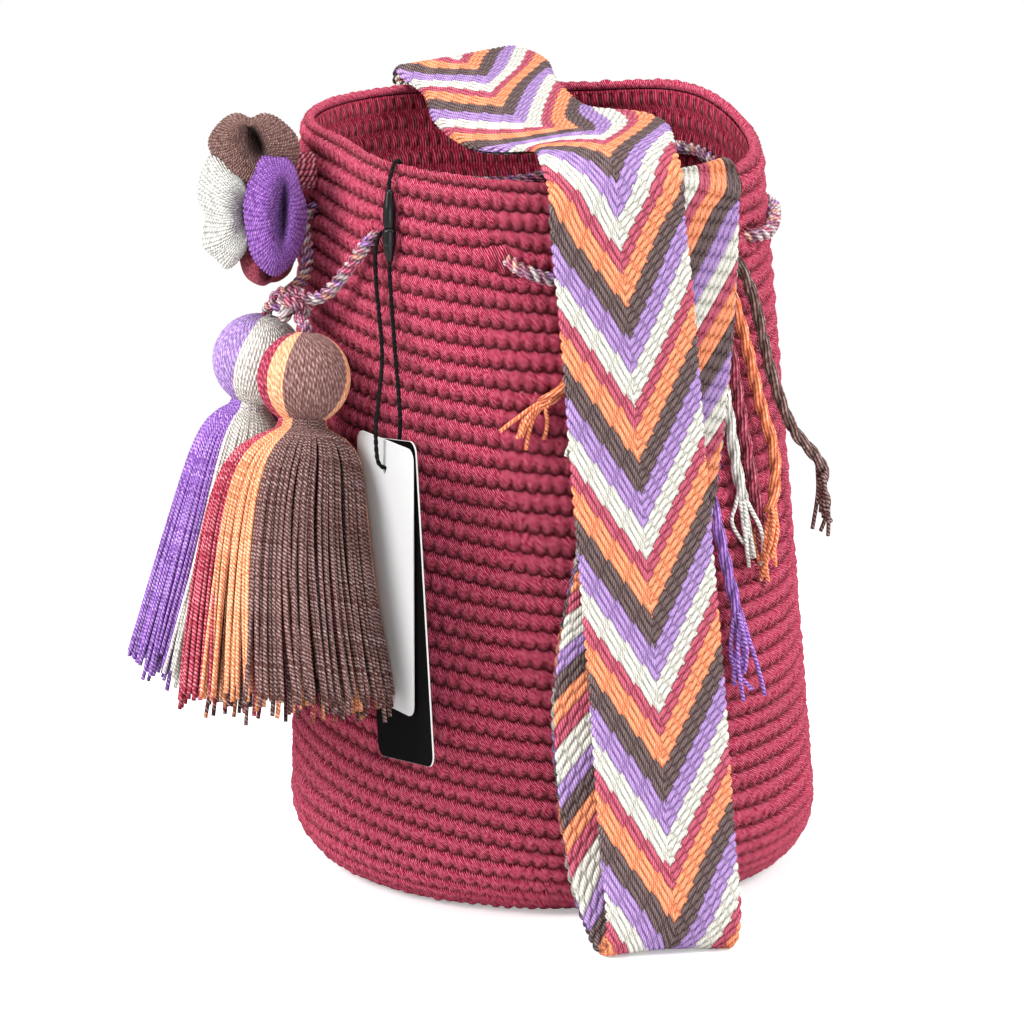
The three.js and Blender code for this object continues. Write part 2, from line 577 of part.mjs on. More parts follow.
// Seal: a tapered plug pushed into a waisted socket, one on each end of the string
function alongSeal(profile) {
  const shape = turned(profile, 12);
  shape.applyQuaternion(new THREE.Quaternion().setFromUnitVectors(up, sealAxis));
  return shape.translate(...sealBottom);
}
const sealLength = sealTop.distanceTo(sealBottom);
const sealJoint = sealLength * 0.46;
const sealRadius = SEAL_DIAMETER / 2;
addMesh('seal_socket', alongSeal([
  [0, 0], [sealRadius * 0.45, 0], [sealRadius * 0.85, sealJoint * 0.4], [sealRadius * 0.85, sealJoint * 0.48],
  [sealRadius, sealJoint * 0.55], [sealRadius, sealJoint], [0, sealJoint],
]), blackPlastic);
addMesh('seal_plug', alongSeal([
  [0, sealJoint + SEAT_GAP], [sealRadius * 0.8, sealJoint + SEAT_GAP], [sealRadius * 0.95, sealLength * 0.56],
  [sealRadius * 0.95, sealLength * 0.74], [sealRadius * 0.5, sealLength], [0, sealLength],
]), blackPlastic);

// Cards: round-cornered, with a hole near the top that the string goes through
function card(length) {
  const half = TAG_WIDTH / 2;
  const top = TAG_HOLE_DROP;
  const bottom = top - length;
  const corner = TAG_CORNER;
  const outline = new THREE.Shape();
  outline.moveTo(-half + corner, bottom);
  outline.absarc(half - corner, bottom + corner, corner, -Math.PI / 2, 0);
  outline.absarc(half - corner, top - corner, corner, 0, Math.PI / 2);
  outline.absarc(-half + corner, top - corner, corner, Math.PI / 2, Math.PI);
  outline.absarc(-half + corner, bottom + corner, corner, Math.PI, 1.5 * Math.PI);
  const hole = new THREE.Path().absarc(0, 0, TAG_HOLE / 2, 0, 2 * Math.PI, true);
  outline.holes.push(hole);
  return new THREE.ExtrudeGeometry(outline, { depth: TAG_THICKNESS, bevelEnabled: false, curveSegments: 3 })
    .translate(0, 0, -TAG_THICKNESS / 2);
}

function addTag(name, length, off, turn, material) {
  const mesh = addMesh(name, card(length), material);
  const lower = tangent(TAG_FACING);
  mesh.quaternion.setFromRotationMatrix(new THREE.Matrix4().makeBasis(lower, up, tagNormal));
  mesh.quaternion.premultiply(new THREE.Quaternion().setFromAxisAngle(tagNormal, radians(turn)));
  mesh.position.copy(tagHole).addScaledVector(tagNormal, off);
}
addTag('white_tag', WHITE_TAG_LENGTH, TAG_SPACING / 2, WHITE_TAG_TURN, whiteCard);
addTag('black_tag', BLACK_TAG_LENGTH, -TAG_SPACING / 2, BLACK_TAG_TURN, blackCard);

export default group;
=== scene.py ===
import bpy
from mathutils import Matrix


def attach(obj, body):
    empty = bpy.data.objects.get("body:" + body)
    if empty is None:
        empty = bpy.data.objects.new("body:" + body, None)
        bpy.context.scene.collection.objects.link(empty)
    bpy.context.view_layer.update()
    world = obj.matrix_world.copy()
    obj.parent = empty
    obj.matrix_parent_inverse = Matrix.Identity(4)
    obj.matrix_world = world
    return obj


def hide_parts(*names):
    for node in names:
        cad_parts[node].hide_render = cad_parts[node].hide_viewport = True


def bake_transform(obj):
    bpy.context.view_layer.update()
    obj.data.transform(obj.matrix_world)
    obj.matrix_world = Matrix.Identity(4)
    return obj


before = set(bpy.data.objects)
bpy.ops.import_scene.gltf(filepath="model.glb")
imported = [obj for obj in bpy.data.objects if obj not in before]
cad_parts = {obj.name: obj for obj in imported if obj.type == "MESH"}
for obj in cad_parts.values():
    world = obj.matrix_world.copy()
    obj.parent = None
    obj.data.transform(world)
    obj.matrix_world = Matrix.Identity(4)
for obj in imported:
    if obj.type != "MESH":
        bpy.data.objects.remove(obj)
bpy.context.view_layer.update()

from functools import partial

import bpy
import numpy as np
from mathutils import Matrix, Vector

print("frame loaded:", len(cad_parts), "nodes")
mm = 0.001
upward = np.array([0, 0, 1.0])
pureWhite = (1.0, 1.0, 1.0, 1.0)
dice = np.random.default_rng(11)


# sRGB 0 to 255 into the linear values that shaders use: the usual power curve.
def paint(red, green, blue):
    part = np.array([red, green, blue]) / 255.0
    return np.where(part <= 0.04045, part / 12.92, ((part + 0.055) / 1.055) ** 2.4)


yarn = dict(
    rose=paint(208, 38, 92),
    roseInside=paint(196, 30, 78),
    lilac=paint(160, 106, 200),
    white=paint(232, 230, 222),
    # darker copy of the white yarn for the rosette's white lobe: painted shade against the strong light on it
    shadedWhite=paint(204, 203, 197),
    raspberry=paint(172, 44, 78),
    mauve=paint(176, 120, 150),
    orange=paint(250, 146, 92),
    brown=paint(116, 78, 70),
    black=paint(16, 16, 17),
    paleLilac=paint(176, 144, 204),
    palePeach=paint(252, 186, 142),
    paleBrown=paint(144, 102, 97),
    strapLilac=paint(168, 128, 194),
    strapOrange=paint(248, 146, 92),
    strapBrown=paint(82, 50, 48),
    strapWhite=paint(226, 223, 212),
    strapRaspberry=paint(186, 52, 88),
    skirtOrange=paint(252, 170, 120),
    skirtBrown=paint(120, 74, 68),
    skirtRaspberry=paint(192, 52, 82),
    # darker copies of lilac and raspberry for the rosette's lobes and tie: painted shade
    shadedLilac=paint(134, 74, 166),
    shadedRaspberry=paint(150, 38, 66),
)


# Places on the bag

bag = dict(
    height=315.0, baseRadius=113.5, mouthRadius=98.0, wall=5.0, baseThickness=6.0, baseRound=30.0,
    lean=11.5, leanAzimuth=-30.0, rimSag=9.0, sagAzimuth=100.0,
    dent=10.0, dentAzimuth=-4.0, dentSpread=22.0, peak=11.0, peakAzimuth=192.0, peakSpread=30.0,
)


# 1 at an azimuth, falling off on either side of it: a bell curve of the angle between.
def bell(azimuth, middle, spread):
    apart = (np.asarray(azimuth, float) - middle + 180) % 360 - 180
    return np.exp(-((apart / spread) ** 2))


# Unit vector away from the bag's axis: (sin, -cos) of the azimuth, which is counted from the front.
def outward(azimuth):
    turn = np.radians(np.asarray(azimuth, float))
    return np.stack([np.sin(turn), -np.cos(turn), np.zeros_like(turn)], -1)


# Unit vector along the wall towards a larger azimuth: (cos, sin) of it.
def tangent(azimuth):
    turn = np.radians(np.asarray(azimuth, float))
    return np.stack([np.cos(turn), np.sin(turn), np.zeros_like(turn)], -1)


# Unit vector at an azimuth and an elevation: the outward one by the cosine, the upward one by the sine.
def skyward(azimuth, elevation):
    rise = np.radians(elevation)
    return outward(azimuth) * np.cos(rise) + upward * np.sin(rise)


# Outer radius of the upright wall: a straight taper from base to mouth.
def wallRadius(height):
    share = np.asarray(height, float) / bag["height"]
    return bag["baseRadius"] + (bag["mouthRadius"] - bag["baseRadius"]) * share


# Point of the upright bag moved to the settled one: the dent is a bell round one azimuth that grows with the
# cube of the height, the peak another with its fourth power, the sag a cosine with its square, and the lean
# grows with it.
def settle(azimuth, radius, height):
    azimuth, radius, height = np.broadcast_arrays(*(np.asarray(a, float) for a in (azimuth, radius, height)))
    share = height / bag["height"]
    dent = bag["dent"] * bell(azimuth, bag["dentAzimuth"], bag["dentSpread"]) * share ** 3
    peak = bag["peak"] * bell(azimuth, bag["peakAzimuth"], bag["peakSpread"]) * share ** 4
    sag = bag["rimSag"] * np.cos(np.radians(azimuth - bag["sagAzimuth"])) * share ** 2
    place = outward(azimuth) * (radius - dent)[..., None]
    place = place + outward(bag["leanAzimuth"]) * (bag["lean"] * share)[..., None]
    place[..., 2] = height - sag + peak
    return place


# Point at a stand-off from the wall, by its height.
def offWall(azimuth, standOff, height):
    return settle(azimuth, wallRadius(height) + standOff, height)


# The same by its drop below the rim.
def hung(azimuth, standOff, drop):
    return offWall(azimuth, standOff, bag["height"] - np.asarray(drop, float))


# Point over the mouth, in shares of the mouth's radius, lifted above the rim.
def overMouth(across, back, lift):
    flat = np.array([across * bag["mouthRadius"], back * bag["mouthRadius"], bag["height"] + lift])
    return flat + outward(bag["leanAzimuth"]) * bag["lean"]


# Curves and meshes


# Vectors divided by their lengths.
def unit(vectors):
    return vectors / np.maximum(np.linalg.norm(vectors, axis=-1, keepdims=True), 1e-9)


# Centripetal Catmull-Rom curve through the points, at parameters counted in points: each span is a cubic
# whose end slopes weigh the neighbours by the square root of their distance.
def curveAt(points, at):
    points = np.asarray(points, float)
    padded = np.vstack([2 * points[:1] - points[1:2], points, 2 * points[-1:] - points[-2:-1]])
    span = np.clip(np.floor(at).astype(int), 0, len(points) - 2)
    t = (at - span)[:, None]
    p0, p1, p2, p3 = (padded[span + k] for k in range(4))
    d0, d1, d2 = (np.maximum(np.linalg.norm(b - a, axis=1, keepdims=True) ** 0.5, 1e-4)
                  for a, b in ((p0, p1), (p1, p2), (p2, p3)))
    slope1 = ((p1 - p0) / d0 - (p2 - p0) / (d0 + d1) + (p2 - p1) / d1) * d1
    slope2 = ((p2 - p1) / d1 - (p3 - p1) / (d1 + d2) + (p3 - p2) / d2) * d1
    return (p1 + slope1 * t + (-3 * p1 + 3 * p2 - 2 * slope1 - slope2) * t ** 2
            + (2 * p1 - 2 * p2 + slope1 + slope2) * t ** 3)


# Length from a path's start to each of its points: the sum of its steps.
def lengths(path):
    steps = np.linalg.norm(np.diff(path, axis=-2), axis=-1)
    return np.concatenate([np.zeros((*steps.shape[:-1], 1)), np.cumsum(steps, -1)], -1)


# Points at equal steps along the curve through the given points: a dense run, then interpolation by length.
def evenly(points, step):
    dense = curveAt(points, np.linspace(0, len(points) - 1, 60 * len(points)))
    length = lengths(dense)
    at = np.linspace(0, length[-1], max(3, int(round(length[-1] / step)) + 1))
    return np.stack([np.interp(at, length, dense[:, k]) for k in range(3)], -1)


# Two directions square to a path: a reference less its part along the path, and their cross product.
def squareTo(path, reference):
    along = unit(np.gradient(path, axis=-2))
    reference = np.broadcast_to(np.asarray(reference, float), path.shape)
    side = unit(reference - along * (reference * along).sum(-1, keepdims=True))
    return side, np.cross(along, side)


# Points on circles: one direction by the cosine of the angle and the other by its sine.
def around(centre, first, second, radius, angle):
    return centre + first * (radius * np.cos(angle))[..., None] + second * (radius * np.sin(angle))[..., None]


# Round height of a yarn at a share from 0 to 1 across it: a half circle.
def roundOver(share):
    return np.sqrt(np.clip(1 - (2 * share - 1) ** 2, 0, 1))


# Quads of a grid of rows and columns, with the grid place of every corner; a closed side runs on to its
# start.
def gridFaces(rows, cols, closeCols=False):
    i, j = np.meshgrid(np.arange(rows - 1), np.arange(cols if closeCols else cols - 1), indexing="ij")
    i, j = i.ravel(), j.ravel()
    corner = np.stack([np.stack(pair, -1) for pair in ((i, j), (i, j + 1), (i + 1, j + 1), (i + 1, j))], 1)
    return corner[..., 0] * cols + corner[..., 1] % cols, corner


# One object from arrays in millimetres: points, quads, a UV for each corner, a colour and a painted shade for
# each point.
def makePiece(name, points, faces, uv, tint, shade, material, slot, body="bag"):
    points = np.asarray(points, float).reshape(-1, 3)
    mesh = bpy.data.meshes.new(name)
    mesh.vertices.add(len(points))
    mesh.vertices.foreach_set("co", (points * mm).astype(np.float32).ravel())
    mesh.loops.add(faces.size)
    mesh.loops.foreach_set("vertex_index", faces.astype(np.int32).ravel())
    mesh.polygons.add(len(faces))
    mesh.polygons.foreach_set("loop_start", np.arange(len(faces), dtype=np.int32) * faces.shape[1])
    mesh.polygons.foreach_set("use_smooth", np.ones(len(faces), bool))
    mesh.update(calc_edges=True)
    if uv is not None:
        layer = mesh.uv_layers.new(name="UVMap")
        layer.uv.foreach_set("vector", np.asarray(uv, np.float32).reshape(-1))
    tint = np.broadcast_to(np.asarray(tint, float), points.shape)
    colour = mesh.attributes.new("tint", "FLOAT_COLOR", "POINT")
    colour.data.foreach_set("color", np.c_[tint, np.ones(len(points))].astype(np.float32).ravel())
    # painted shade for each point, kept as the shade attribute that the yarn finishes multiply into the
    # colour
    shadeLayer = mesh.attributes.new("shade", "FLOAT", "POINT")
    shade = np.broadcast_to(np.asarray(shade, float), len(points))
    shadeLayer.data.foreach_set("value", shade.astype(np.float32))
    mesh.materials.append(material)
    thing = bpy.data.objects.new(name, mesh)
    bpy.context.scene.collection.objects.link(thing)
    if body:
        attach(thing, body)
    return thing


# Drops quads that lie wholly in a clamped end, where they have no length.
def withLength(held, faces, corner):
    keep = ~held.ravel()[faces].all(1)
    return faces[keep], corner[keep]


# Cord surface along a path: at each point a ring whose radius swells once for each ply, and which turns
# by one full turn in each pitch, so that its columns run along the plies. The first and last rings close
# to a point.
def cordGrid(path, radius, plies, sidesPerPly, depth, pitch, reference):
    run = lengths(path)
    side, other = squareTo(path, reference)
    sides = plies * sidesPerPly
    place = np.arange(sides) / sides
    groove = np.abs(np.sin(np.pi * plies * place))
    swell = radius * (1 - depth * (1 - groove))
    rows = np.r_[0, np.arange(len(path)), len(path) - 1]
    size = np.r_[0.02, np.ones(len(path)), 0.02]
    angle = 2 * np.pi * (place[None, :] + run[rows, None] / pitch)
    ring = swell[None, :] * size[:, None]
    points = around(path[rows, None, :], side[rows, None, :], other[rows, None, :], ring, angle)
    faces, corner = gridFaces(len(rows), sides, closeCols=True)
    uv = np.stack([corner[..., 1] / sides, run[rows][corner[..., 0]] / pitch], -1)
    ply = np.arange(sides) // sidesPerPly
    return points, faces, uv, np.tile(ply, len(rows)), np.tile(groove, len(rows))


# Many plain yarns in one mesh: paths is an array of yarns by points by 3, each with its own colour. A
# ring of a few corners goes round each path, with its start turned towards the reference direction.
def yarnBundle(paths, radius, sides, pitch, reference, tints):
    count, steps = paths.shape[:2]
    side, other = squareTo(paths, reference)
    run = lengths(paths)
    rows = np.r_[0, np.arange(steps), steps - 1]
    size = np.r_[0.05, np.ones(steps), 0.05]
    angle = 2 * np.pi * np.arange(sides) / sides
    radius = np.broadcast_to(np.asarray(radius, float).reshape(-1, 1, 1), (count, 1, 1))
    points = around(paths[:, rows, None, :], side[:, rows, None, :], other[:, rows, None, :],
                    radius * size[None, :, None], angle)
    faces, corner = gridFaces(len(rows), sides, closeCols=True)
    perYarn = len(rows) * sides
    allFaces = (np.arange(count)[:, None, None] * perYarn + faces[None]).reshape(-1, 4)
    across = np.broadcast_to(corner[..., 1] / sides, (count, *corner.shape[:2]))
    up = (run[:, rows] / pitch)[:, corner[..., 0]]
    uv = np.stack([across, up + dice.random((count, 1, 1))], -1).reshape(-1, 4, 2)
    return points.reshape(-1, 3), allFaces, uv, np.repeat(np.asarray(tints), perYarn, axis=0)


# Shader node helpers


# Puts a value on an input: a socket is linked to it, and anything else becomes its plain value.
def plug(tree, entry, value):
    if isinstance(value, bpy.types.NodeSocket):
        tree.links.new(value, entry)
    else:
        entry.default_value = value


# New node. A small first letter names a setting of the node, a capital names an input, and _ comes before an
# input's number.
def addNode(tree, kind, **values):
    node = tree.nodes.new("ShaderNode" + kind)
    for key, value in values.items():
        if key[0].islower():
            setattr(node, key, value)
        else:
            plug(tree, node.inputs[int(key[1:]) if key[0] == "_" else key], value)
    return node


# Result of a Math node on numbers and sockets.
def sums(tree, operation, *values, clamp=False):
    node = addNode(tree, "Math", operation=operation, use_clamp=clamp)
    for entry, value in zip(node.inputs, values):
        plug(tree, entry, value)
    return node.outputs[0]


# Colour of a Mix node.
def mixColour(tree, blend, factor, first, second):
    node = addNode(tree, "Mix", data_type="RGBA", blend_type=blend, clamp_result=False,
                   _0=factor, _6=first, _7=second)
    return node.outputs[2]


# New node group: inputs are given as names with their values, None for a vector, and every output is a
# number.
def newGroup(name, inputs, outputs):
    group = bpy.data.node_groups.new(name, "ShaderNodeTree")
    for label, value in inputs.items():
        kind = "NodeSocketVector" if value is None else "NodeSocketFloat"
        entry = group.interface.new_socket(label, in_out="INPUT", socket_type=kind)
        if value is not None:
            entry.default_value = value
    for label in outputs:
        group.interface.new_socket(label, in_out="OUTPUT", socket_type="NodeSocketFloat")
    return group, group.nodes.new("NodeGroupInput").outputs, group.nodes.new("NodeGroupOutput").inputs


# Twisted ply lines: the sine of lines across U and rises along V, bent by a noise, so its size is the height.
# Strokes are a second noise, drawn out along the plies, that makes some parts of a ply paler than others, in
# tone and in the painted highlight that the finishes put on its crown.
def makePlyGroup():
    group, given, result = newGroup("plyLines", dict(Place=None, Lines=2.0, Rise=2.0, Warp=0.3, Grain=6.0),
                                    ("Height", "Stroke"))
    calc = partial(sums, group)
    u, v, _ = addNode(group, "SeparateXYZ", _0=given["Place"]).outputs
    noise = addNode(group, "TexNoise", Vector=given["Place"], Scale=given["Grain"], Detail=2.0)
    up = calc("MULTIPLY_ADD", v, given["Rise"], calc("MULTIPLY", u, given["Lines"]))
    bent = calc("MULTIPLY_ADD", calc("SUBTRACT", noise.outputs[0], 0.5), given["Warp"], up)
    wave = calc("ABSOLUTE", calc("SINE", calc("MULTIPLY", bent, float(np.pi))))
    run = calc("SUBTRACT", calc("MULTIPLY", u, given["Rise"]), calc("MULTIPLY", v, given["Lines"]))
    drawn = addNode(group, "CombineXYZ", X=bent, Y=calc("MULTIPLY", run, 0.5))
    stroke = addNode(group, "TexNoise", Vector=drawn.outputs[0], Scale=1.0, Detail=1.0)
    plug(group, result["Height"], wave)
    plug(group, result["Stroke"], calc("MULTIPLY_ADD", stroke.outputs[0], 2.6, -0.8, clamp=True))
    return group


# Slot cells: each unit of the map is a post beside a slot, with a bar across at the ends of the unit. A post
# fades out from 0.5 to 0.8 of the half width, and the bar in from 0.5 to 0.75 of the half height.
def makeSlotGroup():
    group, given, result = newGroup("slotCells", dict(Place=None), ("Height",))
    calc = partial(sums, group)
    apart = addNode(group, "SeparateXYZ", _0=given["Place"]).outputs
    across, up = (calc("ABSOLUTE", calc("MULTIPLY_ADD", calc("FRACT", apart[k]), 2.0, -1.0)) for k in (0, 1))
    post = calc("MULTIPLY_ADD", across, -1 / 0.3, 0.8 / 0.3, clamp=True)
    bar = calc("MULTIPLY_ADD", up, 1 / 0.25, -0.5 / 0.25, clamp=True)
    plug(group, result["Height"], calc("MAXIMUM", calc("MULTIPLY", post, 0.9), bar))
    return group


# Braided leaves: along each strand the yarn shows as short leaves turned off the strand's own line. A
# leaf's place across the strands is U less tilt times the fraction of the way along the leaf, less a
# half; its number is the floor of the place half way to that.
def makeLeafGroup():
    group, given, result = newGroup("braidLeaves", dict(Place=None, Length=6.0, Tilt=0.6, Step=0.6),
                                    ("Height", "Number", "Twist"))
    calc = partial(sums, group)
    u, v, _ = addNode(group, "SeparateXYZ", _0=given["Place"]).outputs
    noise = addNode(group, "TexNoise", Vector=given["Place"], Scale=0.35, Detail=1.0)
    along = calc("ABSOLUTE", v)
    across = calc("MULTIPLY_ADD", calc("SUBTRACT", noise.outputs[0], 0.5), 0.5, u)
    turns = calc("MULTIPLY_ADD", across, given["Step"], calc("DIVIDE", along, given["Length"]))
    share = calc("SUBTRACT", calc("FRACT", turns), 0.5)
    leaf = calc("SUBTRACT", across, calc("MULTIPLY", share, given["Tilt"]))
    off = calc("MULTIPLY_ADD", calc("FRACT", leaf), 2.0, -1.0)
    dome = calc("SQRT", calc("SUBTRACT", 1.0, calc("MULTIPLY", off, off)))
    tip = calc("POWER", calc("MULTIPLY", calc("ABSOLUTE", share), 2.0), 8.0)
    ends = calc("SUBTRACT", 1.0, calc("MULTIPLY", tip, 0.4))
    line = calc("MULTIPLY_ADD", along, 0.85, calc("MULTIPLY", off, 0.6))
    halfWay = calc("MULTIPLY_ADD", calc("SUBTRACT", leaf, across), 0.5, across)
    plug(group, result["Height"], calc("MULTIPLY", dome, ends))
    plug(group, result["Number"], calc("FLOOR", halfWay))
    plug(group, result["Twist"], calc("ABSOLUTE", calc("SINE", calc("MULTIPLY", line, float(np.pi)))))
    return group


plyLines, slotCells, braidLeaves = makePlyGroup(), makeSlotGroup(), makeLeafGroup()


# New material of one roughness and gloss, with its tree and its shader's inputs.
def newFinish(name, rough, gloss):
    material = bpy.data.materials.new(name)
    material.use_nodes = True
    shader = material.node_tree.nodes["Principled BSDF"].inputs
    shader["Roughness"].default_value = rough
    shader["Specular IOR Level"].default_value = gloss
    return material, material.node_tree, shader


# What each yarn's finish starts from: its map, the point's colour and shade, its solid place and a fine fuzz.
def yarnSources(tree):
    place = addNode(tree, "UVMap", uv_map="UVMap").outputs[0]
    tint = addNode(tree, "Attribute", attribute_name="tint").outputs["Color"]
    shade = addNode(tree, "Attribute", attribute_name="shade").outputs["Fac"]
    solid = addNode(tree, "TexCoord").outputs["Object"]
    fuzz = addNode(tree, "TexNoise", Vector=solid, Scale=900.0, Detail=2.0).outputs[0]
    return place, tint, shade, solid, fuzz


# What each yarn's finish ends with: its colour, deepened by its own square where the painted light level is
# low, times that level, and mixed towards white by the crown's painted highlight; and its height as bump.
def yarnEnd(tree, shader, own, level, deepest, crown, height, strength, distance):
    deep = mixColour(tree, "MULTIPLY", deepest, own, own)
    body = mixColour(tree, "MIX", sums(tree, "MULTIPLY", level, 1.0, clamp=True), deep, own)
    lit = addNode(tree, "VectorMath", operation="SCALE", _0=body, Scale=level)
    plug(tree, shader["Base Color"], mixColour(tree, "MIX", crown, lit.outputs[0], pureWhite))
    bump = addNode(tree, "Bump", Strength=strength, Distance=distance, Height=height)
    plug(tree, shader["Normal"], bump.outputs[0])


# Yarn finish: the point's colour, with painted shade between the plies and from the shade attribute, and a
# painted highlight towards white on the plies' crowns, with the ply lines as bump. lines and rise say how
# many plies cross one unit of the UV map.
def yarnFinish(name, lines, rise, warp, grain, gapShade, highlight, bumpDepth, stroke=0.5, sharp=1.0, cells=False,
               sheen=0.02):
    material, tree, shader = newFinish(name, 0.9, 0.12)
    shader["Sheen Weight"].default_value = sheen
    shader["Sheen Roughness"].default_value = 0.5
    calc = partial(sums, tree)
    place, tint, shade, solid, fuzz = yarnSources(tree)
    ply = addNode(tree, "Group", node_tree=plyLines, Place=place, Lines=lines, Rise=rise, Warp=warp,
                  Grain=grain).outputs
    blotch = addNode(tree, "TexNoise", Vector=solid, Scale=45.0, Detail=2.0).outputs[0]
    # the shade attribute is painted shade; fuzz, strokes and blotches vary the tone at random
    factors = [shade, calc("MULTIPLY_ADD", fuzz, 0.4, 0.8),
               calc("MULTIPLY_ADD", ply["Stroke"], stroke, 1.0 - 0.5 * stroke),
               calc("MULTIPLY_ADD", blotch, 0.3, 0.85)]
    height = calc("MULTIPLY_ADD", fuzz, 0.35, ply["Height"])
    if cells:
        cell = addNode(tree, "Group", node_tree=slotCells, Place=place).outputs["Height"]
        # painted shade in the slots between the posts
        factors.append(calc("MULTIPLY_ADD", cell, 0.65, 0.35))
        height = calc("MULTIPLY_ADD", cell, 2.5, height)
    # painted shade between the plies: the level falls towards its least in the gaps
    level = calc("MULTIPLY_ADD", calc("POWER", ply["Height"], sharp), 1.0 - gapShade, gapShade)
    for factor in factors:
        level = calc("MULTIPLY", level, factor)
    # painted highlight: towards white on the plies' crowns, where the painted shade is light
    crown = calc("MULTIPLY", calc("POWER", ply["Height"], 3.0), shade)
    crown = calc("MULTIPLY", calc("MULTIPLY", crown, ply["Stroke"]), highlight, clamp=True)
    yarnEnd(tree, shader, tint, level, 0.75, crown, height, 0.6, bumpDepth)
    return material


crochetYarn = yarnFinish("crochetYarn", 5.4, 7.2, 0.45, 2.2, 0.3, 0.22, 0.0009, sharp=1.5)
insideYarn = yarnFinish("insideYarn", 4.0, 1.0, 0.8, 2.2, 0.6, 0.15, 0.0008, stroke=0.6, cells=True)
cordYarn = yarnFinish("cordYarn", 10.0, 8.0, 0.5, 5.0, 0.5, 0.25, 0.0006)
strandYarn = yarnFinish("strandYarn", 2.0, 2.0, 0.2, 4.0, 0.5, 0.28, 0.0006)
woundYarn = yarnFinish("woundYarn", 1.0, -1.0, 0.6, 2.0, 0.68, 0.15, 0.0005)
stringYarn = yarnFinish("stringYarn", 8.0, 3.0, 0.3, 5.0, 0.6, 0.02, 0.0003, sheen=0.0)


# Strap finish: the leaves of the left and right arms, coloured by their number in the order of the bands,
# or by the point where there are none. bands lists each band's last strand and colour; leaves lists
# length, tilt and step for either arm.
def strapFinish(name, bands, leaves):
    material, tree, shader = newFinish(name, 0.9, 0.1)
    calc = partial(sums, tree)
    place, own, shade, _, fuzz = yarnSources(tree)
    side = calc("GREATER_THAN", addNode(tree, "SeparateXYZ", _0=place).outputs[1], 0.0)
    turns = {label: calc("MULTIPLY_ADD", side, right - left, left)
             for label, left, right in zip(("Length", "Tilt", "Step"), *leaves)}
    leaf = addNode(tree, "Group", node_tree=braidLeaves, Place=place, **turns).outputs
    if bands:
        count = float(bands[-1][0])
        turn = calc("FRACT", calc("DIVIDE", calc("ADD", leaf["Number"], 0.5), count))
        ramp = addNode(tree, "ValToRGB", _0=turn)
        stops = ramp.color_ramp
        stops.interpolation = "CONSTANT"
        first = 0.0
        for number, (last, colour) in enumerate(bands):
            stop = stops.elements[number] if number < 2 else stops.elements.new(first)
            stop.position = first
            stop.color = (*yarn[colour], 1.0)
            first = last / count
        own = ramp.outputs[0]
    # painted shade: darker at the leaves' edges, between the ply lines and by the shade attribute; the fuzz
    # varies the tone
    level = calc("MULTIPLY_ADD", leaf["Height"], 0.55, 0.45)
    twist = calc("MULTIPLY_ADD", leaf["Twist"], 0.3, 0.8)
    for factor in (twist, calc("MULTIPLY_ADD", fuzz, 0.5, 0.75), shade):
        level = calc("MULTIPLY", level, factor)
    # painted highlight towards white on the leaves' crowns
    crown = calc("MULTIPLY", calc("MULTIPLY", leaf["Height"], leaf["Twist"]), 0.12)
    height = calc("MULTIPLY_ADD", leaf["Twist"], 0.35, leaf["Height"])
    yarnEnd(tree, shader, own, level, 0.6, crown, height, 0.8, 0.0013)
    return material


strapBands = [(3, "strapWhite"), (6, "strapLilac"), (9, "strapBrown"), (12, "strapOrange"),
              (14, "strapRaspberry")]
strapLeaves = strapFinish("strapLeaves", strapBands, ((11.7, 1.0, 0.21), (6.4, -1.0, 0.42)))
backLeaves = strapFinish("backLeaves", None, ((7.0, 0.7, 0.3), (7.0, 0.7, 0.3)))


# Plain finish of one colour, or of the point's own where none is given.
def plainFinish(name, rough, gloss, colour=None):
    material, tree, shader = newFinish(name, rough, gloss)
    if colour is None:
        plug(tree, shader["Base Color"], addNode(tree, "Attribute", attribute_name="tint").outputs["Color"])
    else:
        plug(tree, shader["Base Color"], (*colour, 1.0))
    return material


blackPlastic = plainFinish("blackPlastic", 0.3, 0.28, paint(9, 9, 10))
whiteCard = plainFinish("whiteCard", 0.7, 0.15)
blackCard = plainFinish("blackCard", 0.9, 0.04)
print("finishes made")

# Camera

camera = dict(azimuth=60.0, elevation=12.0, distance=2500.0, scale=0.435, across=-43.0, up=340.0, lens=202.05)


# The camera stands at its azimuth and elevation and aims at a point given in photo pixels from the bag's
# foot.
def makeCamera():
    back, right = skyward(camera["azimuth"], camera["elevation"]), tangent(camera["azimuth"])
    upright = np.cross(back, right)
    aim = camera["scale"] * (camera["across"] * right + camera["up"] * upright)
    data = bpy.data.cameras.new("photoCamera")
    data.sensor_width = 36.0
    data.lens = camera["lens"]
    data.clip_end = 50.0
    thing = bpy.data.objects.new("photoCamera", data)
    place = np.eye(4)
    place[:3, :3] = np.stack([right, upright, back], 1)
    place[:3, 3] = (aim + camera["distance"] * back) * mm
    thing.matrix_world = Matrix(place.tolist())
    bpy.context.scene.collection.objects.link(thing)
    bpy.context.scene.camera = thing


makeCamera()
viewRight, towardCamera = tangent(camera["azimuth"]), outward(camera["azimuth"])
print("camera placed")

# Cords

drawstringRun = dict(outside=3.5, inside=-8.5, middle=-2.5, drop=31.0, count=10, turn=4.0,
                     waves=[(252, 25, 10), (188, 22, -8), (64, 8, 9)])
knotPlace = dict(azimuth=-2.9, standOff=18.2, drop=65.3, length=26.0)
knotCentre = hung(knotPlace["azimuth"], knotPlace["standOff"], knotPlace["drop"])


# How far the threaded cord runs below the rim: a fixed drop and the waves' bells.
def cordDrop(azimuth):
    lower = sum(size * bell(azimuth, middle, spread) for middle, spread, size in drawstringRun["waves"])
    return drawstringRun["drop"] + lower


# Point of the threaded cord.
def threaded(azimuth, standOff):
    return hung(azimuth, standOff, cordDrop(azimuth))


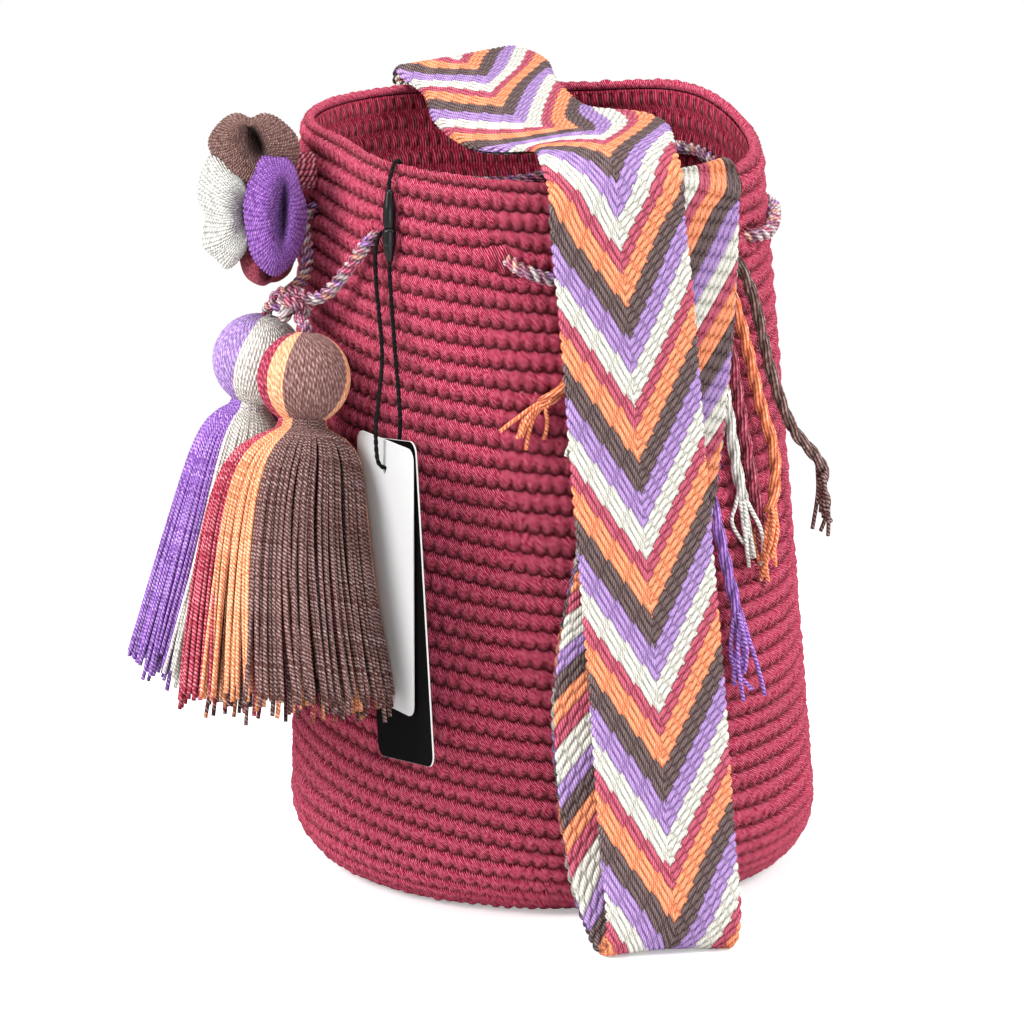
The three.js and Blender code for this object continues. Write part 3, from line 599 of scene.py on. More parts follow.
# Drawstring's middle line: out of the knot to the first eyelet, in and out through the eyelets, and back.
def drawstringRoute():
    run = drawstringRun
    aside = tangent(knotPlace["azimuth"]) * knotPlace["length"]
    points = [knotCentre + aside * 0.26 + [0, 0, 3.4], hung(6.2, 12.5, 59), hung(12.2, 7, 46),
              hung(17, run["outside"] + 0.6, 35)]
    spacing = 360.0 / run["count"]
    for i in range(run["count"]):
        eyelet = spacing / 2 + i * spacing
        before, after = (run["outside"], run["inside"]) if i % 2 == 0 else (run["inside"], run["outside"])
        if i > 0:
            points.append(threaded(eyelet - run["turn"], before))
        points.append(threaded(eyelet, run["middle"]))
        if i < run["count"] - 1:
            points += [threaded(eyelet + part, after) for part in (run["turn"], spacing / 3, 2 * spacing / 3)]
    points += [hung(-16.4, run["outside"] + 0.6, 36), hung(-12.6, run["outside"] + 1, 46.5),
               hung(-8.8, 8, 57), knotCentre - aside * 0.18 + [0, 0, 3.0]]
    return np.array(points)


fleck = dict(colours=("white", "raspberry", "mauve", "white", "brown", "rose", "lilac", "palePeach", "mauve",
                      "white"), length=2.3, even=0.4)
fleckOrder = dice.integers(0, len(fleck["colours"]), (4, 500))


# Cord of three flecked plies: along each ply the colours follow one another in short lengths in a chance
# order, each drawn part of the way to one middle colour.
def fleckedCord(name, path, radius, depth, pitch, reference, slot, body="bag"):
    points, faces, uv, ply, groove = cordGrid(path, radius, 3, 5, depth, pitch, reference)
    run = lengths(path)
    run = np.repeat(np.r_[run[0], run, run[-1]], 15)
    table = np.array([yarn[c] for c in fleck["colours"]])
    table = table + (yarn["mauve"] - table) * fleck["even"]
    turn = np.floor(run / fleck["length"] + ply * 0.41).astype(int) % fleckOrder.shape[1]
    return makePiece(name, points, faces, uv, table[fleckOrder[ply, turn]], 0.4 + 0.6 * groove, cordYarn,
                     slot=slot, body=body)


# Drawstring: one cord along its whole route.
def makeDrawstring():
    path = evenly(drawstringRoute(), 1.3)
    cord = fleckedCord("drawstring_cord", path, 3.1, 0.45, 12.0, upward, "lilac_yarn")
    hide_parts("drawstring")


makeDrawstring()

fringe = dict(diameter=5.5, plies=2, pitch=24.0, depth=0.3, frayYarns=8)
# Cut ends of each cord: how much of it is cut away, their length, how far they part, and the way they turn.
frays = dict(short_orange=(25.0, 15.0, 0.4, (0.0, 0.0, -0.6)),
             short_white=(16.0, 7.0, 0.15, (0.0, 0.0, 0.0)),
             brown=(24.0, 17.0, 0.25, (0.1, 0.1, -0.9)), lilac=(40.0, 24.0, 0.2, (0.15, 0.1, -0.6)))
plainFray = (20.0, 22.0, 0.16, (0.0, 0.0, -0.5))
# Stand-off where a fringe cord crosses the drawstring: the cord's own, its radius, a gap and the fringe's
# radius.
overCord = drawstringRun["outside"] + 3.0 + 1.35 + fringe["diameter"] / 2
# Each cord has its colour, its place across the strap's end, and points as azimuth, stand-off and drop.
frontFringe = [
    ("brown", 22.8, [[110.5, 4.2, 30], [115, 5.5, 41], [118.6, 6.4, 56], [121.9, 8, 86], [126.5, 12, 114],
                     [133.7, 16, 129], [137, 18, 138], [132.9, 16, 152], [128.8, 14, 160]]),
    ("orange", 15.2, [[106.3, 3.8, 37], [111, 4.4, 51], [114.4, 5, 70], [118.3, 6, 101], [120.2, 9, 125],
                      [116, 10.5, 146], [109.6, 10, 163]]),
    ("raspberry", 7.6, [[102, 3.6, 40], [106.6, 3.8, 56], [109.9, 4, 77], [112, 4.2, 108], [115.2, 4.4, 143],
                        [118.6, 5, 172]]),
    ("white", 0, [[96.4, 4.4, 36], [101.6, 3.8, 58], [105, 4, 78], [107, 4, 98], [109, 4.2, 129],
                  [112.6, 4.4, 160]]),
    ("lilac", -7.6, [[88.8, overCord, 30], [91, 8, 49], [94.4, 4.2, 77], [97.6, 4, 109], [100.6, 4.5, 142],
                     [103, 5, 168], [104.6, 6, 187], [105.5, 7, 204], [108.5, 9, 218], [112.5, 9, 229]]),
    ("short_white", -15.2, [[83.8, overCord + 0.3, 30], [80, 8, 49], [76, 4.4, 76], [70.5, 4.2, 101],
                            [66.5, 4.5, 113], [62.6, 4.5, 118]]),
    ("short_orange", -22.8, [[78.6, overCord, 30], [75, 8, 48], [72, 4.4, 67], [68, 4.2, 80], [64, 4.5, 88.5],
                             [60, 5, 93], [56.4, 5, 98.5], [54, 4.5, 113]]),
]
rearFringe = [
    ("brown", 18, [[-114.6, 3.8, 56], [-116.4, 4.4, 92], [-115.4, 5, 124], [-118, 5.5, 152]]),
    ("orange", 9, [[-109, 3.6, 56], [-110.2, 4, 88], [-109.2, 4.6, 116], [-111, 5, 138]]),
    ("raspberry", 0, [[-103.8, 3.6, 58], [-104.4, 4, 94], [-103.2, 4.6, 126], [-104.6, 5, 156]]),
    ("white", -9, [[-98.4, 3.6, 54], [-97.8, 4, 84], [-98.4, 4.6, 110], [-97, 5, 132]]),
    ("lilac", -18, [[-93.6, 4.4, 36], [-92.4, 3.8, 62], [-91, 4, 90], [-91.8, 4.6, 120], [-89.4, 5, 148]]),
]

# Strap route

strap = dict(width=55.0, thickness=3.5, frontAnchor=93.0, rearAnchor=-102.0, seat=2.75, slopeLeft=1.56,
             slopeRight=1.82, backSlopeLeft=1.05, backSlopeRight=1.8, columns=22, crown=0.6, edgeRound=3.0)
high, seat = bag["height"], strap["seat"]
fa, ra = strap["frontAnchor"], strap["rearAnchor"]
# Each station has its middle, the heading of its width, the tilt of its far edge and its hug round the wall.
stations = [
    (offWall(fa, seat, high - 14), fa, 0, 1), (offWall(fa, seat, high - 8), fa, 0, 1),
    (offWall(fa, seat + 0.4, high - 2), fa, 0, 1), (offWall(fa, 6, high + 3), fa, 0, 0.9),
    (offWall(fa, 10, high + 6), fa, 0, 0.85), (offWall(fa, 14, high + 3), fa, 0, 0.8),
    (offWall(92, 16, high - 6), 92, 0, 0.7), (hung(91, 16.6, 27), 91, 0, 0.5),
    (offWall(86, 17.4, 0.72 * high), 84, 0, 0.2), (offWall(79, 18.6, 0.51 * high), 75, 0, 0),
    (offWall(73, 20.5, 0.32 * high), 66, 0, 0), (offWall(73.6, 25.8, 0.11 * high), 65, 0, 0),
    (offWall(75.2, 31.5, 14), 68, 0, 0), (offWall(75.8, 40, 4), 72, 0, 0),
    (offWall(76.4, 49.5, 4.2), 72, 0, 0), (offWall(76.7, 53.5, 16), 68, 0, 0),
    (offWall(76.9, 48.2, 0.14 * high), 65, 0, 0), (offWall(77.3, 41, 0.33 * high), 65.3, -1, 0),
    (offWall(77.1, 33.5, 0.595 * high), 67.7, -1, 0), (offWall(76.8, 28.4, 0.86 * high), 67.6, -1, 0),
    (hung(76.4, 25.5, 12), 69, 2, 0), (hung(76.8, 23.4, -4), 70, 5, 0),
    (hung(77.4, 11.5, -14.2), 73, 8, 0),
    (overMouth(0.63, -0.05, 8), 86, 12, 0), (overMouth(0.18, -0.097, 5.5), 82, 15, 0),
    (overMouth(-0.257, -0.017, 11), 90, 20, 0), (overMouth(-0.635, 0.142, 16), 84, 16, 0),
    (offWall(ra, -4, high + 9), 78, 11, 0), (offWall(ra, 6, high + 9.5), 78, 7, 0),
    (offWall(ra, 10, high + 3), 78, 3, 0.3), (offWall(ra, 5.5, high - 6), 78, 0, 0.7),
    (offWall(ra, seat + 0.2, high - 16), 78, 0, 1), (offWall(ra, seat, high - 20), 78, 0, 1),
]


# The strap's middle line, width direction, face direction and hug at equal small steps of its length.
def strapFrame():
    at = np.linspace(0, len(stations) - 1, 6000)
    middle = curveAt(np.array([s[0] for s in stations]), at)
    headings, tilts, hugs = (np.array([s[k] for s in stations], float) for k in (1, 2, 3))
    flat = tangent(headings) * np.cos(np.radians(tilts))[:, None]
    flat[:, 2] = np.sin(np.radians(tilts))
    across, face = squareTo(middle, curveAt(flat, at))
    return lengths(middle), middle, across, face, np.interp(at, np.arange(len(stations)), hugs)


strapRun, strapMiddle, strapAcross, strapFace, strapHug = strapFrame()
print("strap length", round(float(strapRun[-1]), 1), "mm")


# Cut yarns spread from a cord's end: each runs on in the cord's own direction, parted from it, and droops
# with the square of its length.
def makeFray(name, path, colour, kind, anchor, slot):
    _, reach, part, turn = kind
    count = fringe["frayYarns"]
    along = unit(path[-1] - path[-6])
    way = unit(along + np.array(turn) + dice.normal(0, part, (count, 3)))
    long = reach * (0.65 + 0.45 * dice.random(count))
    t = np.linspace(0, 1, 10)
    start = path[-1] - along * 5 + dice.normal(0, 0.9, (count, 3))
    curl = dice.normal(0, 0.12, (count, 3))
    paths = (start[:, None, :] + (along[None, None, :] * 5 * np.minimum(t * 4, 1)[None, :, None])
             + way[:, None, :] * (long[:, None] * t)[..., None]
             + curl[:, None, :] * (long[:, None] * np.sin(np.pi * t))[..., None]
             - upward * (long[:, None] * 0.25 * t ** 2)[..., None])
    bundle = yarnBundle(paths, 0.95, 5, 3.6, outward(anchor), np.tile(colour, (count, 1)))
    return makePiece(name, *bundle, 1.0, strandYarn, slot=slot)


# A fringe cord starts at its place across the strap's end and follows its own points down the wall.
def makeFringe(side, end, nextOne, anchor, cords):
    away = unit(end[0] - nextOne[0])
    across = unit(tangent(end[1]) - away * (tangent(end[1]) @ away))
    radius = fringe["diameter"] / 2
    for name, aside, route in cords:
        colour, kind = name.replace("short_", ""), frays.get(name, plainFray)
        lift = radius - strap["thickness"] / 2 - aside ** 2 / (2 * bag["mouthRadius"])
        start = end[0] + across * aside + outward(anchor) * lift
        seats = [start + away * 0.3, start + away * (radius + 1)]
        path = evenly(seats + [hung(*place) for place in route], 1.5)
        path = path[:len(path) - int(kind[0] / 1.5)]
        points, faces, uv, _, groove = cordGrid(path, radius, fringe["plies"], 6, fringe["depth"],
                                                fringe["pitch"], outward(anchor + 90))
        cord = makePiece(f"{side}_cord_{name}", points, faces, uv, yarn[colour], 0.45 + 0.55 * groove,
                         cordYarn, slot=colour + "_yarn")
        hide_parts(f"{side}_fringe_{name}")
        fray = makeFray(f"{side}_fray_{name}", path, yarn[colour], kind, anchor, colour + "_yarn")


makeFringe("front", stations[0], stations[1], fa, frontFringe)
makeFringe("rear", stations[-1], stations[-2], ra, rearFringe)
print("fringe made")

# Tag string

tags = dict(facing=-3.0, azimuth=28.2, standOff=15.5006, drop=122.7, width=52.0, whiteLength=112.0,
            blackLength=134.0, thickness=0.8, bevel=0.12, corner=5.0, hole=2.3, holeDrop=12.0, spacing=2.0,
            blackTurn=7.0, play=0.5, white=(188, 188, 188), black=(6, 5, 5), core=(200, 200, 198))
tagNormal = outward(tags["facing"])
tagHole = hung(tags["azimuth"], tags["standOff"], tags["drop"])
seal = dict(azimuth=25.0, standOff=4.0, top=9.0, bottom=39.2, diameter=5.6)
sealTop = hung(seal["azimuth"], seal["standOff"], seal["top"])
sealBottom = hung(seal["azimuth"], seal["standOff"], seal["bottom"])
sealAxis = unit(sealTop - sealBottom)


# Point in front of the cards' hole, raised above it.
def byHole(off, rise):
    return tagHole + tagNormal * off + upward * rise


# Tag string: from the seal over the rim and out through an eyelet, down through both cards and back to
# the seal.
def makeString():
    wall = bag["wall"]
    points = [sealTop + sealAxis * 0.3, sealTop + sealAxis * 2, hung(25, 3.4, 4), hung(25, 1.6, 0.6),
              hung(24.7, -0.4, -1.4), hung(24.4, -wall / 2, -1.9), hung(24, -wall + 0.2, -1.3),
              hung(23.8, -wall - 1.6, 1.4), hung(23.0, -wall - 1.6, 12), hung(21.8, -wall - 1.6, 20),
              hung(21.2, -wall - 0.4, 24), hung(20.8, -wall / 2, 27), hung(20.4, 1.4, 30),
              hung(20.2, 3.4, 36), hung(21.4, 5.0, 50), hung(25.0, 9.5, 78), byHole(5.2, 17), byHole(5, 8),
              byHole(4.1, 2.6), byHole(2.1, tags["play"]), byHole(-2.1, tags["play"]), byHole(-4.1, 2.6),
              byHole(-5, 8), hung(30.2, 11.6, 104), hung(27.6, 7.2, 74), hung(25.6, 4.8, 50),
              sealBottom - sealAxis * 2, sealBottom - sealAxis * 0.3]
    path = evenly(points, 0.7)
    points, faces, uv, _, groove = cordGrid(path, 1.0, 2, 5, 0.3, 6.0, tangent(tags["facing"]))
    cord = makePiece("tag_cord", points, faces, uv, yarn["black"], 0.6 + 0.4 * groove, stringYarn,
                     slot="black_string")
    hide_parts("tag_string")


makeString()
print("cords made")

# Crocheted shell

crochet = dict(pitch=7.92, stitches=116, rowStart=11, split=32, perStitch=5,
               levels=(0.0, 0.08, 0.24, 0.5, 0.76, 0.92), low=-2.1, high=3.5,
               gap=0.72, scallop=1.3, lean=-0.2, shift=0.42, tiltAzimuth=100.0)
rimRound = bag["wall"] / 2
roundCentre = float(wallRadius(bag["baseRound"])) - bag["baseRound"]
turnLength = bag["baseRound"] * np.pi / 2
wallLength = bag["height"] - rimRound - bag["baseRound"]
rimLength = rimRound * np.pi
outsideLength = roundCentre + turnLength + wallLength + rimLength
rowCount = int(round(outsideLength / crochet["pitch"]))
rowPitch = outsideLength / rowCount


# Outer profile by its length from the middle of the base: flat, turn, wall and rim; with its normal.
def profileAt(run):
    onTurn = np.clip((run - roundCentre) / turnLength, 0, 1) * np.pi / 2 - np.pi / 2
    onWall = np.clip(run - roundCentre - turnLength, 0, wallLength)
    onRim = np.clip((run - roundCentre - turnLength - wallLength) / rimLength, 0, 1) * np.pi
    flat = np.minimum(run, roundCentre)
    height = bag["baseRound"] * (1 + np.sin(onTurn)) + onWall + rimRound * np.sin(onRim)
    taper = wallRadius(bag["baseRound"] + onWall) - wallRadius(bag["baseRound"])
    radius = flat + bag["baseRound"] * np.cos(onTurn) + taper - rimRound * (1 - np.cos(onRim))
    angle = onTurn + onRim
    return radius, height, np.cos(angle), np.sin(angle)


# How far the rows dip towards one side of the bag, by the length from the base's middle.
def rowDip(run):
    return np.interp(run, [0, 80, 150, 250, 300, 360, 405, outsideLength], [0, 8, 19, 19, 13, 6, 2, 0])


# Length from the base's middle at a row and an azimuth: rows at equal pitch, less the dip's cosine.
def runOfRow(row, azimuth):
    level = row * rowPitch
    return level - rowDip(level) * np.cos(np.radians(azimuth - crochet["tiltAzimuth"]))


# Height of one stitch over its row: a rope-like ridge in v, cut by a leaning gap between stitches that is
# deepest in the lower part of the row. Each stitch has its own size.
def stitchHeight(u, v, row):
    ridge = roundOver(v ** 1.2)
    seat = u + crochet["lean"] * (v - 0.5)
    which = np.floor(seat).astype(int) % crochet["stitches"]
    size = stitchSize[row % len(stitchSize), which]
    place = np.abs((seat % 1) - 0.5) * 2
    notch = np.clip((place - 0.4) / 0.6, 0, 1) ** 1.5
    share = (1 - 0.9 * np.clip((v - 0.32) / 0.36, 0, 1)) * np.where(row < rowCount - 1, 1.0, 0.3)
    return ridge * (1 - crochet["gap"] * notch * share - 0.06 * place ** 2) * size, notch * share * ridge


stitchSize = 1 + dice.normal(0, 0.06, (80, crochet["stitches"]))
stitchStart = dice.random(80) * 0.25


# How far a level of the upright bag lies over the threaded cord.
def overCordLine(azimuth, level):
    return level - bag["height"] + cordDrop(azimuth)[None, :]


# How near a place is to an eyelet: a bell of the angle times a bell of the height.
def holeAt(azimuth, level, spread, tall):
    spacing = 360.0 / drawstringRun["count"]
    near = sum(bell(azimuth, spacing * (i + 0.5), spread) for i in range(drawstringRun["count"]))
    return near[None, :] * np.exp(-((overCordLine(azimuth, level) / tall) ** 2))


# Rows of stitches from one row to another as one grid that goes all round. Rows waver a little, their
# edges dip between the stitches below, and they part round the eyelets.
def crochetRows(name, first, last):
    levels = np.array(crochet["levels"])
    rows = np.concatenate([first + (np.arange(last - first)[:, None] + levels).ravel(), [last]])
    cols = crochet["stitches"] * crochet["perStitch"]
    azimuth = np.arange(cols) / cols * 360.0 - 180.0
    row = np.minimum(np.floor(rows + 1e-9).astype(int), last - 1)
    v = (rows - row)[:, None]
    u = azimuth / 360 * crochet["stitches"] + (crochet["shift"] * row + stitchStart[row % 80])[:, None]
    height, notch = stitchHeight(u, v, row[:, None])
    run = runOfRow(rows[:, None], azimuth[None, :])
    waver = 0.5 * np.sin(rows * 0.9) * (rows < rowCount - 2)
    run = run + np.sin(np.radians(azimuth * 7))[None, :] * waver[:, None]
    edge = np.round(rows).astype(int)
    under = azimuth / 360 * crochet["stitches"] + (crochet["shift"] * edge + stitchStart[edge % 80])[:, None]
    under = np.abs((under - 0.5 * crochet["lean"]) % 1 - 0.5) * 2
    near = np.clip(1 - np.abs(rows - edge) / 0.4, 0, 1) * (edge < rowCount) * (edge > crochet["rowStart"])
    run = run + crochet["scallop"] * (under ** 2 - 0.4) * near[:, None]
    _, level, _, _ = profileAt(run)
    part = np.clip(overCordLine(azimuth, level) / 2.0, -1, 1)
    run = run + 3.4 * part * holeAt(azimuth, level, 4.5, 8.0)
    radius, level, outNormal, upNormal = profileAt(run)
    lift = crochet["low"] + crochet["high"] * height
    lift = lift - 2.6 * holeAt(azimuth, level, 3.2, 4.0)
    standing = np.maximum(level + lift * upNormal, 0.1)
    points = settle(azimuth[None, :], radius + lift * outNormal, standing)
    faces, corner = gridFaces(len(rows), cols, closeCols=True)
    faceRow = row[corner[:, 0, 0]][:, None]
    uvAcross = corner[..., 1] / crochet["perStitch"] - crochet["stitches"] / 2
    uvAcross = uvAcross + crochet["shift"] * faceRow + stitchStart[faceRow % 80]
    uv = np.stack([uvAcross, rows[corner[..., 0]] + faceRow * 0.37], -1)
    shade = (0.42 + 0.58 * np.clip(height * 1.7, 0, 1)) * (0.42 + 0.58 * np.clip(v / 0.6, 0, 1))
    shade = shade - 0.38 * notch
    shade = np.where((row == rowCount - 1)[:, None] & (v > 0.5), np.maximum(shade, 0.75), shade)
    shade = shade * (1 - 0.6 * holeAt(azimuth, level, 2.6, 3.5))
    return makePiece(name, points, faces, uv, yarn["rose"], np.clip(shade, 0.26, 1).ravel(), crochetYarn,
                     slot="rose_yarn")


lowerWall = crochetRows("crochet_lower_wall", crochet["rowStart"], crochet["split"])
crochetRows("crochet_upper_wall", crochet["split"], rowCount)
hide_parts("bag_body")


# Base: rings of stitches on the flat part, with fewer stitches to a ring than the wall has.
def crochetBase():
    rows = np.linspace(0, crochet["rowStart"], crochet["rowStart"] * 4 + 1)
    cols = 232
    azimuth = np.arange(cols) / cols * 360.0 - 180.0
    run = np.maximum(runOfRow(rows[:, None], azimuth[None, :]), 0.4 * rows[:, None] / 11)
    radius, level, outNormal, upNormal = profileAt(run)
    v = (rows % 1)[:, None]
    ridge = roundOver(v)
    lift = -1.6 + 1.5 * ridge * (1 - 0.3 * np.cos(np.radians(azimuth * 58))[None, :] ** 2)
    points = settle(azimuth[None, :], radius + lift * outNormal, np.maximum(level + lift * upNormal, 0.1))
    faces, corner = gridFaces(len(rows), cols, closeCols=True)
    uv = np.stack([corner[..., 1] / 2.0, rows[corner[..., 0]]], -1)
    shade = np.broadcast_to(0.45 + 0.55 * ridge, lift.shape)
    makePiece("crochet_base", points, faces, uv, yarn["rose"], shade.ravel(), crochetYarn, slot="rose_yarn")


crochetBase()


# Inside: the reverse of the stitches is a brick pattern of small bumps, down the wall and over the floor.
def crochetInside():
    inner = bag["baseRound"] - bag["wall"]
    floorZ = bag["baseThickness"]
    top = bag["height"] - rimRound
    wallRun = top - floorZ - inner
    turnRun = inner * np.pi / 2
    total = wallRun + turnRun + roundCentre
    rowsIn = int(round(total / rowPitch))
    rows = np.arange(rowsIn * 4 + 1) / 4
    cols = crochet["stitches"]
    azimuth = np.arange(cols) / cols * 360.0 - 180.0
    run = (rows / rowsIn * total)[:, None] + 0 * azimuth[None, :]
    onWall = np.clip(run, 0, wallRun)
    onTurn = np.clip((run - wallRun) / turnRun, 0, 1) * np.pi / 2
    onFlat = np.clip(run - wallRun - turnRun, 0, roundCentre)
    level = top - onWall - inner * np.sin(onTurn)
    radius = wallRadius(np.maximum(level, bag["baseRound"])) - bag["wall"] - inner * (1 - np.cos(onTurn))
    radius = np.maximum(np.where(onFlat > 0, roundCentre - onFlat, radius), 0.3)
    row = np.floor(rows + 1e-9).astype(int)
    bump = np.sin(np.pi * (rows - row)) ** 0.7
    lift = (-0.6 + 1.4 * bump)[:, None] + 0 * run
    fade = np.clip(rows / 0.5, 0, 1)[:, None]
    lift = lift * fade
    points = settle(azimuth[None, :], radius - lift * np.cos(onTurn), level + lift * np.sin(onTurn))
    faces, corner = gridFaces(len(rows), cols, closeCols=True)
    uv = np.stack([corner[..., 1] + 0.2 * (corner[:, :1, 0] // 4), rows[corner[..., 0]]], -1)
    shade = np.repeat(0.8 + 0.2 * bump, cols)
    makePiece("crochet_inside", points, faces, uv, yarn["roseInside"], shade, insideYarn, slot="rose_yarn")


crochetInside()
print("shell made:", rowCount, "rows")

# Strap

weave = dict(strand=4.5, frontStart=7.3, backStart=97.2, backTurn=3, backShift=1,
             backRight=dict(strapWhite=3, strapRaspberry=2, strapOrange=3, strapBrown=3, strapLilac=3),
             backLeft=dict(strapWhite=3, strapLilac=2, strapBrown=2, strapOrange=2, strapRaspberry=2))


# Points of the strap at a length along it, a place across it and a distance off its middle.
def strapPlace(run, across, off):
    middle, wide, face = (np.stack([np.interp(run, strapRun, a[:, k]) for k in range(3)], -1)
                          for a in (strapMiddle, strapAcross, strapFace))
    face = unit(face)
    curl = np.interp(run, strapRun, strapHug) * across ** 2 / (2 * bag["mouthRadius"])
    return middle + wide * across[..., None] + face * (off + curl)[..., None]


# Rows of strand samples: where each strand starts on the middle line, its number, and the share across it.
def strandRows(start, low, high):
    levels = np.array([0.0, 0.12, 0.36, 0.64, 0.88])
    first = int(np.floor((low - start) / weave["strand"]))
    last = int(np.ceil((high - start) / weave["strand"]))
    number = np.repeat(np.arange(first, last), len(levels))
    part = np.tile(levels, last - first)
    return start + (number + part) * weave["strand"], number, part


# Colours of numbered strands, from each colour's count of strands in their order.
def strandTint(bands, number):
    table = np.repeat([yarn[c] for c in bands], list(bands.values()), axis=0)
    return table[number % len(table)]


# How round an edge or end is at a distance from it: a quarter circle over the given reach.
def roundIn(distance, reach):
    return np.sqrt(1 - (1 - np.clip(distance / reach, 0, 1)) ** 2)


# Woven band: its grid follows the strands, which climb from the middle to both edges, so each row of the
# grid is one V. Its back is plain here, and the back's own strands lie on it as a second piece.
def makeStrap():
    half, total = strap["width"] / 2, float(strapRun[-1])
    apex, number, part = strandRows(weave["frontStart"], -half * strap["slopeRight"] - 6, total + 6)
    side = np.linspace(-1, 1, 2 * strap["columns"] + 1)
    w = half * np.sign(side) * np.abs(side) ** 0.9
    zigzag = 0.25 * (np.abs((apex / weave["strand"]) % 1 - 0.5) * 4 - 1)
    offMiddle = np.abs(w[None, :] - zigzag[:, None] * np.exp(-((w / 5.0) ** 2))[None, :])
    slope = np.where(w < 0, strap["slopeLeft"], strap["slopeRight"])
    s = np.clip(apex[:, None] + slope * offMiddle, 0, total)
    rope = roundOver(part)[:, None]
    arm = np.abs(w) * np.hypot(1, slope)
    edge = np.clip((half - np.abs(w)) / strap["edgeRound"], 0, 1)[None, :]
    rim = roundIn(edge, 1) * 0.9 + 0.1
    ends = roundIn(np.minimum(s, total - s), 2.5) * 0.95 + 0.05
    spine = 1 - 0.2 * np.exp(-((w / 1.3) ** 2))[None, :]
    step = 0.5 + 0.5 * np.cos(2 * np.pi * (arm / 6.8)[None, :] + np.pi * number[:, None])
    thick = strap["thickness"] / 2 + strap["crown"] * (rope * spine * (0.85 + 0.15 * step) - 0.5)
    wide = w[None, :] + np.sign(w)[None, :] * (rope - 0.5) * 1.3 * (1 - edge) ** 2
    front = strapPlace(s, wide, -thick * rim * ends)
    few = np.r_[44, 39, 33, 22, 11, 5, 0]
    flat = np.full(s.shape, strap["thickness"] / 2 - 0.8) * rim * ends
    back = strapPlace(s[:, few], wide[:, few], flat[:, few])
    points = np.concatenate([front, back], 1)
    faces, corner = gridFaces(points.shape[0], points.shape[1], closeCols=True)
    held = (s <= 0) | (s >= total)
    faces, corner = withLength(np.concatenate([held, held[:, few]], 1), faces, corner)
    armAll = np.concatenate([arm * np.sign(w), (arm * np.sign(w))[few], -arm[:1]])
    high = part[corner[..., 0]] + number[corner[..., 0]]
    uv = np.stack([high, armAll[corner[..., 1]]], -1)
    shade = (0.8 + 0.2 * rope ** 0.8) * (0.85 + 0.15 * spine) * np.ones(s.shape)
    shade = np.concatenate([shade, np.full((len(apex), len(few)), 0.4)], 1)
    band = makePiece("strap_band", points, faces, uv, yarn["strapLilac"], shade.ravel(), strapLeaves,
                     slot="lilac_yarn")
    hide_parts("shoulder_strap")
    return band


# Back of the band: strands that cross it from edge to edge, in the other order of colours on either half.
def makeStrapBack():
    half, total = strap["width"] / 2, float(strapRun[-1])
    apex, number, part = strandRows(weave["backStart"], -half * strap["backSlopeLeft"] - 6,
                                    total + half * strap["backSlopeRight"] + 6)
    w = np.linspace(-half + 0.7, half - 0.7, 2 * strap["columns"] + 1)
    slope = np.where(w < 0, strap["backSlopeLeft"], strap["backSlopeRight"])
    s = np.clip(apex[:, None] - slope * w[None, :], 0, total)
    rope = roundOver(part)[:, None]
    edge = np.clip((half - np.abs(w)) / strap["edgeRound"], 0, 1)[None, :]
    rim, ends = roundIn(edge, 1), roundIn(np.minimum(s, total - s), 2.5)
    wide = w[None, :] + np.sign(w)[None, :] * (rope - 0.5) * 1.3 * (1 - edge) ** 2
    thick = (strap["thickness"] / 2 + strap["crown"] * (rope - 0.5)) * rim * ends - 0.12 * (1 - rim)
    points = strapPlace(s, wide, thick)
    faces, corner = gridFaces(*s.shape)
    faces, corner = withLength((s <= 0) | (s >= total), faces, corner)
    arm = w * np.hypot(1, slope)
    uv = np.stack([(number + part)[corner[..., 0]], arm[corner[..., 1]]], -1)
    right = strandTint(weave["backRight"], number + weave["backShift"])
    left = strandTint(weave["backLeft"], number + weave["backTurn"])
    tint = np.where((w > 0)[None, :, None], right[:, None], left[:, None])
    shade = np.broadcast_to(0.75 + 0.25 * rope ** 0.8, s.shape)
    return makePiece("strap_back_weave", points, faces[:, ::-1], uv[:, ::-1], tint.reshape(-1, 3),
                     shade.ravel(), backLeaves, slot="lilac_yarn")


band = makeStrap()
strapBack = makeStrapBack()
print("strap made:", len(band.data.polygons), "quads")

# Tassels

tasselKinds = dict(
    left=dict(stem=[[-7.4, 20, 67.4], [-9.6, 21.4, 68.4]], top=(-11.4, 21.6, 73.4), end=(-13.8, 42.6, 217),
              neckRadius=7.6, shoulder=11.0, widen=0.125, bow=0.0, mixed=0, body="left_tassel",
              slot="lilac_yarn", neck="lilac",
              head=[(-180, "paleLilac"), (-22, "white"), (95, "paleLilac")],
              sectors=[(-180, "white"), (-150, "lilac"), (-26, "white"), (75, "lilac"), (120, "white")]),
    right=dict(stem=[[1.4, 18.4, 69.4], [4.2, 20, 69.6]], top=(7.4, 21.6, 72.8), end=(14.8, 42.5, 218.8),
               neckRadius=9.0, shoulder=18.5, widen=0.155, bow=-4.5, mixed=1, body="right_tassel",
               slot="brown_yarn", neck="brown",
               head=[(-180, "palePeach"), (-150, "raspberry"), (-47, "palePeach"), (-20, "paleBrown"),
                     (66, "palePeach"), (100, "paleBrown"), (150, "palePeach")],
               sectors=[(-180, "skirtOrange"), (-140, "skirtRaspberry"), (-50, "skirtOrange"),
                        (-23, "skirtBrown"), (82, "skirtOrange"), (115, "skirtRaspberry"),
                        (150, "skirtBrown")]),
)
tasselSize = dict(head=39.0, headLength=38.0, pole=5.0, gap=0.3, binding=6.0, skirtLength=108.0,
                  headYarns=92, perYarn=4, outer=150, inner=190, yarn=0.94, rise=9.0, bend=7.0)


